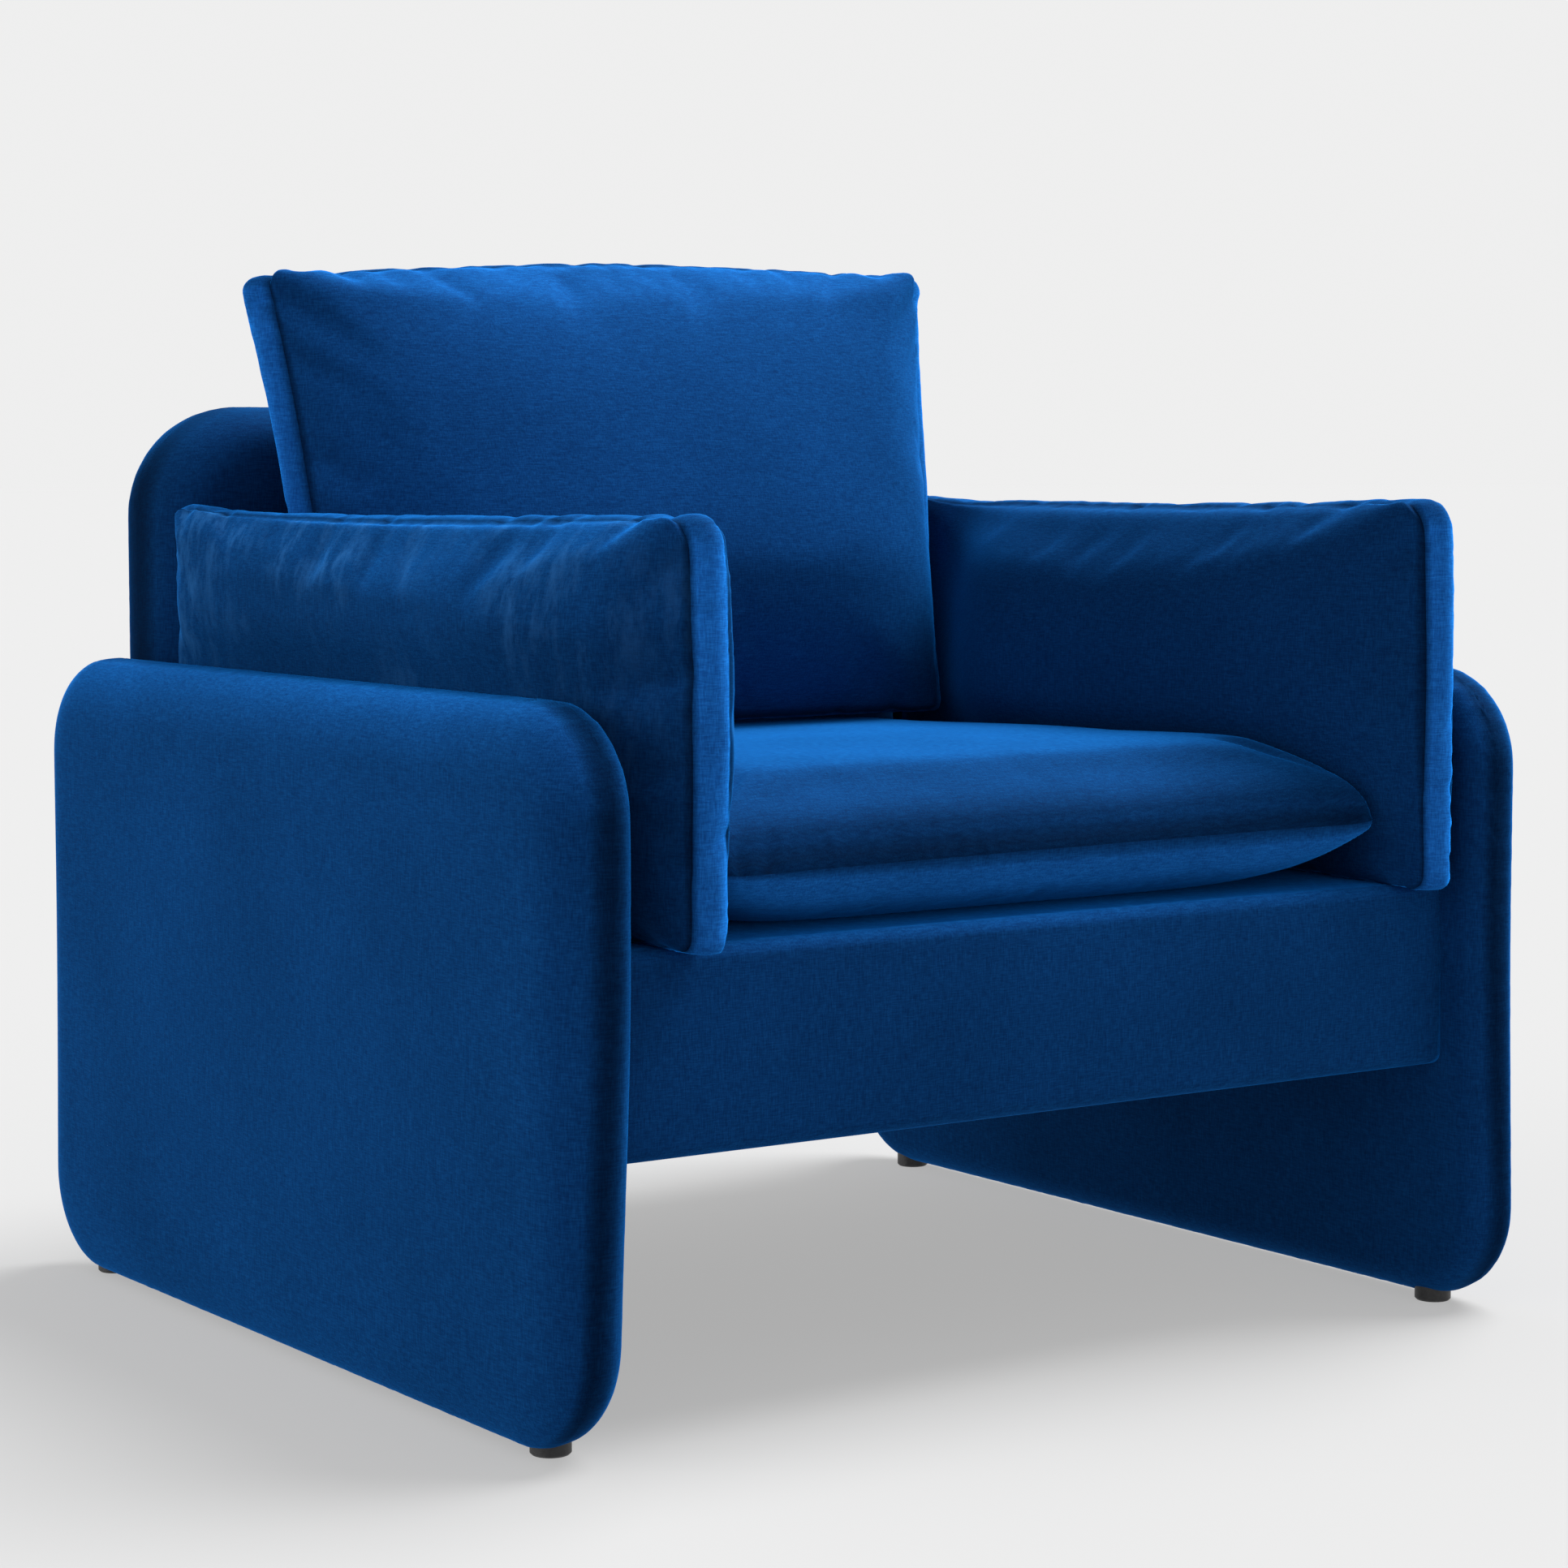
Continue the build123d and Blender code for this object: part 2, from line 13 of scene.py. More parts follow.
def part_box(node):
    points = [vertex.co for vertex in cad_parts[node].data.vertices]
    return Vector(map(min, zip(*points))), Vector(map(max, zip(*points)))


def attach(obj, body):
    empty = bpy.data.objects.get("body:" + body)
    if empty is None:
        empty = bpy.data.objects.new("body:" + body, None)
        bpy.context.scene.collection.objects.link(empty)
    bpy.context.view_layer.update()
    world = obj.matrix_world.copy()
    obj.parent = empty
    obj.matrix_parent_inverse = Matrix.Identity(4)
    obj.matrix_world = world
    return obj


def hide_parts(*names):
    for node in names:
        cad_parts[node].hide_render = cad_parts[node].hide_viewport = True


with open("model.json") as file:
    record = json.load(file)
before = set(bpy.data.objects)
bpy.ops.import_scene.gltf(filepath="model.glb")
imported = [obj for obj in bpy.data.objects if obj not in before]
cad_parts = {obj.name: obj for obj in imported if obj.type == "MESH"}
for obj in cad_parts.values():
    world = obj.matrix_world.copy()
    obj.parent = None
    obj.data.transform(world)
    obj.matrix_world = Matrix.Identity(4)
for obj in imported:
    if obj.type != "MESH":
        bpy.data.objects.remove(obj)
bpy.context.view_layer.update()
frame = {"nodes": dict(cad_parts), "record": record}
MM = 0.001
SIDES = {"left": -1, "right": 1}

GUSSET = 30 * MM                # width of the strip between the two faces of a loose cushion
GUSSET_SWELL = (0.36, 0.108)    # how far that strip swells out, in gusset widths, on either axis
SEAM_WIDTH = 2.2 * MM           # reach of the groove that a seam draws into the fabric
SEAM_DEPTH = 1.0 * MM           # of that groove on the arms and the back panel
CUSHION_SEAM_DEPTH = 1.1 * MM   # of that groove on the loose cushions
CORNER_REACH = 48 * MM          # how far the deeper folds spread from a cushion's corner
FOLD_GAINS = (0.20, 0.7, 2.6)   # how deep the folds are everywhere, in patches, and at the corners
ROLL_CREST = 14 * MM            # how far from a seam the fabric rolls out furthest over it


# ---- meshes from inset outlines -----------------------------------------------------------------
def outline_point(half, radii, inset, side, fraction):
    """A point of a rounded rectangle drawn in by an inset, along one side from corner to corner."""
    along = np.array([math.cos(side * math.pi / 2), math.sin(side * math.pi / 2)])
    outward = np.array([along[1], -along[0]])
    length = half[side % 2] - inset
    reach = half[1 - side % 2] - inset
    start = max(radii[side] - inset, 0.0)
    end = max(radii[(side + 1) % 4] - inset, 0.0)
    quarter = math.pi / 4
    straight = 2 * length - start - end
    travelled = fraction * (quarter * (start + end) + straight)
    if travelled < quarter * start:
        angle = quarter - travelled / start
        centre = (start - length) * along + (reach - start) * outward
        return centre + start * (math.cos(angle) * outward - math.sin(angle) * along)
    travelled -= quarter * start
    if travelled <= straight:
        return (start - length + travelled) * along + reach * outward
    angle = (travelled - straight) / max(end, 1e-9)
    centre = (length - end) * along + (reach - end) * outward
    return centre + end * (math.cos(angle) * outward + math.sin(angle) * along)


def outline_grid(counts, half, radii, insets):
    """A grid laid on a rounded rectangle, its square rings on ever more inset outlines."""
    n, m = counts
    points = np.zeros((n + 1, m + 1, 2))
    rings = np.zeros((n + 1, m + 1), int)
    for i in range(n + 1):
        for j in range(m + 1):
            k = min(i, n - i, j, m - j)
            wide, high = max(n - 2 * k, 1), max(m - 2 * k, 1)
            if j == k:
                side, fraction = 0, (i - k) / wide
            elif i == n - k:
                side, fraction = 1, (j - k) / high
            elif j == m - k:
                side, fraction = 2, (n - k - i) / wide
            else:
                side, fraction = 3, (m - k - j) / high
            points[i, j] = outline_point(half, radii, insets[k], side, fraction)
            rings[i, j] = k
    return points, rings


def border_of(counts):
    """The grid's border as index pairs, once round."""
    n, m = counts
    loop = [(i, 0) for i in range(n)]
    loop += [(n, j) for j in range(m)]
    loop += [(i, m) for i in range(n, 0, -1)]
    loop += [(0, j) for j in range(m, 0, -1)]
    return loop


def roll(width, height, steps, power=2.0, rise=2.0):
    """The rounded edge of a padded face, from its seam inwards, as insets and heights."""
    rows = []
    for k in range(steps + 1):
        angle = math.pi / 2 * k / steps
        inset = width * (1 - max(math.cos(angle), 0) ** (2 / power))
        rows.append((inset, height * math.sin(angle) ** (2 / rise)))
    return rows


def to_middle(rows, counts, half, crown=0.0):
    """Carries a rolled edge on to the middle of the face, with a slight crown."""
    missing = min(counts) // 2 + 1 - len(rows)
    inset, height = rows[-1]
    reach = min(half) - inset
    for k in range(1, missing + 1):
        share = k / missing
        rows = rows + [(inset + reach * share, height + crown * math.sin(share * math.pi / 2))]
    return rows


class Pad:
    """A closed padded form: a front and a rear face on one outline, with or without a gusset.

    Each face is given as rows of (inset, height), from the seam to the middle.
    """

    def __init__(self, counts, half, radii, front, rear, gusset=0.0, gusset_steps=4):
        n, m = counts
        points, rings = outline_grid(counts, half, radii, [row[0] for row in front])
        rear_points, _ = outline_grid(counts, half, radii, [row[0] for row in rear])
        verts, faces, inset, angle, face_side = [], [], [], [], []
        border = border_of(counts)
        turn = {pair: 2 * math.pi * t / len(border) for t, pair in enumerate(border)}

        def put(point, height, ring_inset, side, place):
            verts.append((point[0], point[1], height))
            inset.append(ring_inset)
            angle.append(place)
            face_side.append(side)
            return len(verts) - 1

        def place_of(i, j):
            k = rings[i, j]
            nearest = (min(max(i, k), n - k), min(max(j, k), m - k))
            wide, high = max(n - 2 * k, 1), max(m - 2 * k, 1)
            out_i = round((nearest[0] - k) / wide * n)
            out_j = round((nearest[1] - k) / high * m)
            return turn[min(max(out_i, 0), n), min(max(out_j, 0), m)] if k else turn[i, j]

        top = np.zeros((n + 1, m + 1), int)
        bottom = np.zeros((n + 1, m + 1), int)
        for i in range(n + 1):
            for j in range(m + 1):
                k = rings[i, j]
                height = gusset / 2 + front[k][1]
                top[i, j] = put(points[i, j], height, front[k][0], 1, place_of(i, j))
        for i in range(n + 1):
            for j in range(m + 1):
                k = rings[i, j]
                if k == 0 and gusset == 0:
                    bottom[i, j] = top[i, j]
                    continue
                height = -gusset / 2 - rear[k][1]
                bottom[i, j] = put(rear_points[i, j], height, rear[k][0], -1, place_of(i, j))
        for i in range(n):
            for j in range(m):
                faces.append((top[i, j], top[i + 1, j], top[i + 1, j + 1], top[i, j + 1]))
                faces.append(
                    (bottom[i, j], bottom[i, j + 1], bottom[i + 1, j + 1], bottom[i + 1, j])
                )
        if gusset > 0:
            loops = [[top[pair] for pair in border]]
            for step in range(1, gusset_steps):
                share = step / gusset_steps
                swell = gusset * math.sin(share * math.pi) * np.array(GUSSET_SWELL)
                from_seam = gusset * min(share, 1 - share)
                loop = []
                for i, j in border:
                    point = points[i, j] * (1 + swell / np.array(half))
                    loop.append(put(point, gusset / 2 - gusset * share, from_seam, 0, turn[i, j]))
                loops.append(loop)
            loops.append([bottom[pair] for pair in border])
            for upper, lower in zip(loops, loops[1:]):
                for t in range(len(border)):
                    u = (t + 1) % len(border)
                    faces.append((upper[t], lower[t], lower[u], upper[u]))
        in_faces = 2 * n * m
        self.strip = [0] * in_faces + [1] * (len(faces) - in_faces)
        self.seams = [[top[pair] for pair in border]]
        if gusset > 0:
            self.seams.append([bottom[pair] for pair in border])
        self.verts = np.array(verts)
        self.faces = faces
        self.inset = np.array(inset)
        self.side = np.array(face_side)
        girth = 4 * (half[0] + half[1]) / (2 * math.pi)
        angle = np.array(angle)
        round_seam = [np.cos(angle) * girth, np.sin(angle) * girth]
        self.place = np.stack(round_seam + [self.side * 0.5], axis=1)

    def object(self, name):
        """The form as a Blender object, with its seam distance kept as an attribute."""
        mesh = bpy.data.meshes.new(name)
        faces = [tuple(map(int, face)) for face in self.faces]
        mesh.from_pydata([tuple(vert) for vert in self.verts], [], faces)
        mesh.update()
        piece = bpy.data.objects.new(name, mesh)
        bpy.context.scene.collection.objects.link(piece)
        mesh.attributes.new("seam_distance", "FLOAT", "POINT").data.foreach_set("value", self.inset)
        place = mesh.attributes.new("seam_place", "FLOAT_VECTOR", "POINT")
        place.data.foreach_set("vector", self.place.reshape(-1))
        mesh.polygons.foreach_set("use_smooth", [True] * len(mesh.polygons))
        mesh.polygons.foreach_set("material_index", self.strip)
        stitched = {
            frozenset((int(a), int(b)))
            for seam in self.seams
            for a, b in zip(seam, seam[1:] + seam[:1])
        }
        sharp = [1.0 if frozenset(edge.vertices) in stitched else 0.0 for edge in mesh.edges]
        mesh.attributes.new("crease_edge", "FLOAT", "EDGE").data.foreach_set("value", sharp)
        return piece


def coordinates(piece):
    """A mesh object's vertex places as an array."""
    flat = np.zeros(len(piece.data.vertices) * 3)
    piece.data.vertices.foreach_get("co", flat)
    return flat.reshape(-1, 3)


def set_coordinates(piece, places):
    """Moves a mesh object's vertices to the given places."""
    piece.data.vertices.foreach_set("co", np.asarray(places).reshape(-1))
    piece.data.update()


def normals(piece):
    """A mesh object's vertex normals as an array."""
    flat = np.zeros(len(piece.data.vertices) * 3)
    piece.data.vertices.foreach_get("normal", flat)
    return flat.reshape(-1, 3)


def smooth_step(value, low, high):
    """Rises smoothly from 0 at low to 1 at high."""
    share = np.clip((value - low) / (high - low), 0, 1)
    return share * share * (3 - 2 * share)


def face_outwards(piece):
    """Turns every face outwards, whichever way the outline was laid."""
    shape = bmesh.new()
    shape.from_mesh(piece.data)
    bmesh.ops.recalc_face_normals(shape, faces=shape.faces)
    shape.to_mesh(piece.data)
    shape.free()


def attribute(piece, name, key, width):
    """A point attribute of a mesh as an array."""
    flat = np.zeros(len(piece.data.vertices) * width)
    piece.data.attributes[name].data.foreach_get(key, flat)
    return flat.reshape(-1, width) if width > 1 else flat


def puckers(piece, depth, reach, pitch, seed, corners=()):
    """Gathers the fabric in short folds that start at the seams, deepest near the corners."""
    places = coordinates(piece)
    outward = normals(piece)
    distance = attribute(piece, "seam_distance", "value", 1)
    along = attribute(piece, "seam_place", "vector", 3)
    moved = places.copy()
    everywhere, patchy, cornered = FOLD_GAINS
    for index in np.nonzero(distance < 4 * reach)[0]:
        fade = math.exp(-distance[index] / reach)
        where = Vector(along[index]) / pitch
        where.z = along[index][2] * 9 + seed
        patch = 0.5 + 0.5 * noise.noise(where * 0.13)
        fold = noise.noise(where) + 0.5 * noise.noise(where * 2.1)
        gain = everywhere + patchy * patch
        for corner, size in corners:
            gain += cornered * math.exp(-np.linalg.norm(places[index] - corner) / size)
        moved[index] += outward[index] * depth * fade * fold * gain
    set_coordinates(piece, moved)


def sink_seams(piece, depth):
    """Draws the seam lines in a little, so that the fabric rolls over on both sides of them."""
    places = coordinates(piece)
    distance = attribute(piece, "seam_distance", "value", 1)
    fall = np.exp(-((distance / SEAM_WIDTH) ** 2))
    set_coordinates(piece, places - normals(piece) * (depth * fall)[:, None])


def corners_of(pad, piece):
    """The places of the four corners of a cushion's front seam, with the reach of their folds."""
    seam = coordinates(piece)[pad.seams[0]]
    centre = seam.mean(axis=0)
    spread = np.linalg.svd(seam - centre, full_matrices=False)[2][:2]
    flat = (seam - centre) @ spread.T
    found = []
    for a in (-1, 1):
        for b in (-1, 1):
            score = flat[:, 0] * a / np.ptp(flat[:, 0]) + flat[:, 1] * b / np.ptp(flat[:, 1])
            found.append((seam[int(np.argmax(score))], CORNER_REACH))
    return found


def inflate(piece, pin, pressure, growth, cap, frames=20):
    """Blows the cover up as cloth over its filling, and keeps each point near where it began."""
    before = coordinates(piece)
    group = piece.vertex_groups.new(name="held")
    for index, weight in enumerate(pin):
        if weight > 0:
            group.add([index], float(weight), "REPLACE")
    cloth = piece.modifiers.new("Cloth", "CLOTH")
    settings = cloth.settings
    settings.quality = 5
    settings.mass = 0.35
    settings.tension_stiffness = 18
    settings.compression_stiffness = 14
    settings.shear_stiffness = 6
    settings.bending_stiffness = 0.35
    settings.tension_damping = 12
    settings.compression_damping = 12
    settings.air_damping = 4
    settings.use_pressure = True
    settings.uniform_pressure_force = pressure
    settings.shrink_min = -growth
    settings.vertex_group_mass = "held"
    settings.pin_stiffness = 1.0
    settings.effector_weights.gravity = 0
    cloth.collision_settings.use_collision = False
    cloth.point_cache.frame_start = 1
    cloth.point_cache.frame_end = frames
    scene = bpy.context.scene
    for step in range(1, frames + 1):
        scene.frame_set(step)
    shaped = piece.evaluated_get(bpy.context.evaluated_depsgraph_get())
    after = np.zeros(len(shaped.data.vertices) * 3)
    shaped.data.vertices.foreach_get("co", after)
    after = after.reshape(-1, 3)
    piece.modifiers.remove(cloth)
    scene.frame_set(1)
    move = after - before
    size = np.linalg.norm(move, axis=1, keepdims=True)
    move *= np.minimum(1, cap / np.maximum(size, 1e-9))
    set_coordinates(piece, before + move)


def subdivide(piece, levels=1):
    """Subdivides the mesh smoothly for good."""
    modifier = piece.modifiers.new("Subdivision", "SUBSURF")
    modifier.levels = levels
    modifier.render_levels = levels
    shaped = piece.evaluated_get(bpy.context.evaluated_depsgraph_get())
    finer = bpy.data.meshes.new_from_object(shaped)
    piece.modifiers.remove(modifier)
    coarse = piece.data
    piece.data = finer
    finer.name = coarse.name
    bpy.data.meshes.remove(coarse)


def dome(u, v, power, sharpness):
    """The rise of a filled cushion over its middle plane: 1 in the middle, 0 along the seams."""
    bulge = np.clip(1 - np.abs(u) ** power, 0, 1) * np.clip(1 - np.abs(v) ** power, 0, 1)
    return bulge**sharpness


def rolled_over(inset, reach):
    """How far the fabric beside a seam rolls out over it: most a little way in from the seam."""
    share = inset / ROLL_CREST
    return reach * share * np.exp(1 - share)


def seam_rings(counts, half):
    """Rings from the seam to the middle, closest together beside the seam, without height."""
    steps = min(counts) // 2
    return [(min(half) * (k / (steps + 0.5)) ** 1.35, 0.0) for k in range(steps + 1)]


# ---- materials ----------------------------------------------------------------------------------
def grey(level):
    """An even grey that doesn't let anything through."""
    return (level, level, level, 1)


class Shader:
    """A small helper that adds nodes to one material and links them."""

    def __init__(self, name):
        self.material = bpy.data.materials.new(name)
        self.material.use_nodes = True
        self.tree = self.material.node_tree
        self.surface = self.tree.nodes["Principled BSDF"]

    def add(self, kind, **inputs):
        """A new node with some of its inputs set."""
        node = self.tree.nodes.new(kind)
        for key, value in inputs.items():
            node.inputs[key.replace("_", " ")].default_value = value
        return node

    def link(self, source, target):
        self.tree.links.new(source, target)

    def object_place(self, scale=(1, 1, 1)):
        """Object coordinates, stretched by a scale."""
        place = self.tree.nodes.new("ShaderNodeTexCoord")
        stretch = self.tree.nodes.new("ShaderNodeMapping")
        stretch.inputs["Scale"].default_value = scale
        self.link(place.outputs["Object"], stretch.inputs["Vector"])
        return stretch.outputs["Vector"]

    def noise(self, vector, scale, detail=3.0, roughness=0.55):
        """Noise between 0 and 1."""
        node = self.add("ShaderNodeTexNoise", Scale=scale, Detail=detail, Roughness=roughness)
        self.link(vector, node.inputs["Vector"])
        return node.outputs["Fac"]

    def ramp(self, factor, stops):
        """Turns a factor into a colour by stops of (place, colour)."""
        node = self.tree.nodes.new("ShaderNodeValToRGB")
        elements = node.color_ramp.elements
        while len(elements) < len(stops):
            elements.new(0.5)
        for element, (place, colour) in zip(elements, stops):
            element.position = place
            element.color = colour
        self.link(factor, node.inputs["Fac"])
        return node.outputs["Color"]

    def mix(self, factor, first, second, blend="MIX"):
        """Mixes two colours; each argument is a value or another node's output."""
        node = self.tree.nodes.new("ShaderNodeMix")
        node.data_type = "RGBA"
        node.blend_type = blend
        colour_sockets = (node.inputs[0], node.inputs[6], node.inputs[7])
        for value, socket in zip((factor, first, second), colour_sockets):
            if isinstance(value, (int, float, tuple)):
                socket.default_value = value
            else:
                self.link(value, socket)
        return node.outputs[2]

    def bump(self, height, strength, distance, normal=None):
        """A bumped normal, laid over another one where given."""
        node = self.add("ShaderNodeBump", Strength=strength, Distance=distance)
        self.link(height, node.inputs["Height"])
        if normal is not None:
            self.link(normal, node.inputs["Normal"])
        return node.outputs["Normal"]


VELVET_DEEP = (0.0015, 0.0170, 0.071, 1)
VELVET_MIDDLE = (0.0020, 0.0250, 0.098, 1)
VELVET_BRIGHT = (0.0030, 0.0350, 0.128, 1)
CRUSH_TINT = (0.012, 0.062, 0.190, 1)
SHEEN_TINT = (0.003, 0.20, 0.75, 1)
# colour gain of the painted sheen where the cloth turns away from the view
PAINTED_SHEEN_GAIN = (3.0, 4.2, 3.6, 1)
THREADS, SLUBS, CLOUDS = 120, 60, 5.0       # noise scales of the weave, its slubs and brushed marks
STREAKS, PATCHES = 4.2, 6.0                 # noise scales of the crushed marks and their areas


def weave_colour(shader, pile, brushed, across, down):
    """The velvet's own colour: deep and bright threads, cloudy marks, and slubs both ways."""
    colour = shader.ramp(pile, [(0.36, VELVET_DEEP), (0.50, VELVET_MIDDLE), (0.64, VELVET_BRIGHT)])
    clouds = shader.ramp(brushed, [(0.30, grey(0.88)), (0.70, grey(1.12))])
    colour = shader.mix(1.0, colour, clouds, "MULTIPLY")
    for stretch in (across, down):
        slubs = shader.noise(shader.object_place(stretch), SLUBS, detail=1)
        thin = shader.ramp(slubs, [(0.63, grey(1)), (0.72, grey(0.84))])
        colour = shader.mix(1.0, colour, thin, "MULTIPLY")
    return colour


def crushed(shader, colour, grain, strength):
    """Lighter streaks, in patches, where the pile was pressed flat."""
    streak_scale = tuple(4.5 if g else 10.0 for g in grain)
    streaks = shader.noise(shader.object_place(streak_scale), STREAKS, detail=6, roughness=0.68)
    area = shader.noise(shader.object_place(), PATCHES, detail=2)
    marks = shader.ramp(streaks, [(0.47, grey(0)), (0.64, grey(strength))])
    patches = shader.ramp(area, [(0.42, grey(0)), (0.64, grey(1))])
    where = shader.mix(1.0, marks, patches, "MULTIPLY")
    return shader.mix(where, colour, CRUSH_TINT)


def paint_light_by_facing(shader, colour, painted_light_axis, painted_light_tones):
    """Paints light and shade into the colour by which way the surface faces an axis: 0 against it,
    1 along it.
    """
    geometry = shader.tree.nodes.new("ShaderNodeNewGeometry")
    facing_dot = shader.tree.nodes.new("ShaderNodeVectorMath")
    facing_dot.operation = "DOT_PRODUCT"
    facing_dot.inputs[1].default_value = painted_light_axis
    shader.link(geometry.outputs["Normal"], facing_dot.inputs[0])
    share = shader.add("ShaderNodeMapRange")
    share.inputs["From Min"].default_value = -1.0
    shader.link(facing_dot.outputs["Value"], share.inputs["Value"])
    tones = [(place, grey(tone)) for place, tone in painted_light_tones]
    return shader.mix(1.0, colour, shader.ramp(share.outputs["Result"], tones), "MULTIPLY")


def seam_shade(shader, colour):
    """Darkens the cloth in the seam line."""
    seam = shader.tree.nodes.new("ShaderNodeAttribute")
    seam.attribute_name = "seam_distance"
    line = shader.ramp(seam.outputs["Fac"], [(0.0, grey(0.30)), (1.4 * MM, grey(1))])
    return shader.mix(1.0, colour, line, "MULTIPLY")


def paint_sheen(shader, colour):
    """Paints a sheen into the colour: lighter where the cloth turns away from the view."""
    facing = shader.add("ShaderNodeLayerWeight", Blend=0.30)
    rise = [(0.10, grey(0)), (0.55, grey(0.22)), (1.0, grey(1))]
    sheen_share = shader.ramp(facing.outputs["Facing"], rise)
    return shader.mix(1.0, colour, shader.mix(sheen_share, grey(1), PAINTED_SHEEN_GAIN), "MULTIPLY")


def velvet(name, grain, painted_light_axis, painted_light_tones, crush=0.0):
    """Blue velvet: a short pile with a sheen, fine threads both ways, slubs and brushed marks.

    The colour gets painted light and shade by which way the surface faces a given axis.
    """
    shader = Shader(name)
    across = tuple(1.0 if g else 8.0 for g in grain)
    down = tuple(8.0 if g else 1.0 for g in grain)
    threads = shader.noise(shader.object_place(across), THREADS, detail=2)
    cross_threads = shader.noise(shader.object_place(down), THREADS, detail=2)
    brushed = shader.noise(shader.object_place(), CLOUDS, detail=3)
    pile = shader.mix(0.5, threads, cross_threads)
    colour = weave_colour(shader, pile, brushed, across, down)
    if crush > 0:
        colour = crushed(shader, colour, grain, crush)
    # painted light and shade by which way the surface faces
    colour = paint_light_by_facing(shader, colour, painted_light_axis, painted_light_tones)
    colour = seam_shade(shader, colour)
    # painted sheen where the cloth turns away from the view
    colour = paint_sheen(shader, colour)
    shader.link(colour, shader.surface.inputs["Base Color"])
    fine = shader.bump(pile, 0.28, 1 * MM)
    shader.link(shader.bump(brushed, 0.14, 5 * MM, fine), shader.surface.inputs["Normal"])
    rough = shader.ramp(pile, [(0.3, grey(0.72)), (0.7, grey(0.88))])
    shader.link(rough, shader.surface.inputs["Roughness"])
    shader.surface.inputs["Specular IOR Level"].default_value = 0.006
    shader.surface.inputs["Sheen Weight"].default_value = 0.40
    shader.surface.inputs["Sheen Roughness"].default_value = 0.30
    shader.surface.inputs["Sheen Tint"].default_value = SHEEN_TINT
    return shader.material


def cloth_like(name, dark, light, scale, roughness=0.9):
    """A plain woven or foamed surface: two tones in a fine grain with a bump."""
    shader = Shader(name)
    grain = shader.noise(shader.object_place(), scale, detail=5)
    colour = shader.ramp(grain, [(0.35, dark), (0.65, light)])
    shader.link(colour, shader.surface.inputs["Base Color"])
    shader.link(shader.bump(grain, 0.35, 1 * MM), shader.surface.inputs["Normal"])
    shader.surface.inputs["Roughness"].default_value = roughness
    return shader.material


def wood(name, dark, light, along):
    """Planed timber: a stretched grain along one direction with darker year lines."""
    shader = Shader(name)
    scale = tuple(1.0 if g else 12.0 for g in along)
    grain = shader.noise(shader.object_place(scale), 14, detail=6)
    colour = shader.ramp(grain, [(0.38, dark), (0.62, light)])
    shader.link(colour, shader.surface.inputs["Base Color"])
    shader.link(shader.bump(grain, 0.2, 0.8 * MM), shader.surface.inputs["Normal"])
    shader.surface.inputs["Roughness"].default_value = 0.6
    return shader.material


def zinc(name):
    """Zinc-plated steel with faint spangle."""
    shader = Shader(name)
    spangle = shader.noise(shader.object_place(), 900, detail=3)
    tones = [(0.3, (0.42, 0.42, 0.44, 1)), (0.7, (0.66, 0.66, 0.68, 1))]
    shader.link(shader.ramp(spangle, tones), shader.surface.inputs["Base Color"])
    shader.surface.inputs["Metallic"].default_value = 1.0
    shader.surface.inputs["Roughness"].default_value = 0.38
    return shader.material


# Painted light and shade: each list says how light the velvet is painted by which way it faces
# an axis: places from 0, facing against the axis, through 0.5, at right angles to it, to 1,
# facing along it; and the tone there.
PAINTED_LIGHT_UP, PAINTED_LIGHT_FORWARD, PAINTED_LIGHT_BACK_AND_UP = (0, 0, 1), (0, -1, 0), (0, 0.55, 0.83)
GRAIN_UP, GRAIN_ALONG = (0, 0, 1), (0, 1, 0)
# painted light: the seat box and the arms are painted lighter where they face upwards
UPRIGHT_TONES = [(0.20, 0.92), (0.50, 0.94), (0.64, 1.30), (1.0, 1.60)]
ARM_TONES = [(0.20, 1.00), (0.50, 0.94), (0.64, 1.36), (1.0, 1.70)]
# painted shade: the back panel is painted darker, most where it doesn't face forward
PANEL_TONES = [(0.0, 0.66), (0.46, 0.55), (0.62, 0.64), (1.0, 0.98)]
# painted light: the back cushion is painted lighter where it faces up or down
BACK_TONES = [(0.20, 1.85), (0.44, 1.26), (0.50, 1.04), (0.60, 1.36), (1.0, 1.70)]
# painted shade: the pillows are painted darker where they face upwards
PILLOW_TONES = [(0.20, 0.92), (0.50, 0.82), (0.66, 0.62), (1.0, 0.72)]
# painted light and shade: the left pillow is painted darker facing down or sideways, lighter facing
# up
CRUSHED_TONES = [(0.20, 0.74), (0.47, 0.74), (0.60, 1.00), (0.76, 1.20), (1.0, 1.30)]
# painted highlight: the gusset strips of the loose cushions are painted much lighter
STRIP_TONES = [(0.20, 2.40), (0.50, 3.10), (0.64, 1.90), (0.85, 1.00), (1.0, 0.90)]
# painted light: the seat cushion's lower half is painted lighter, for light thrown up from the
# floor
UNDER_TONES = [(0.0, 1.70), (0.15, 2.10), (0.50, 2.30), (1.0, 2.40)]
# painted light and shade: the seat cushion's top is painted darker where it rolls over the front
SEAT_TOP_TONES = [(0.0, 1.85), (0.22, 1.55), (0.40, 0.68), (0.50, 0.58), (0.62, 0.68), (0.90, 0.92)]
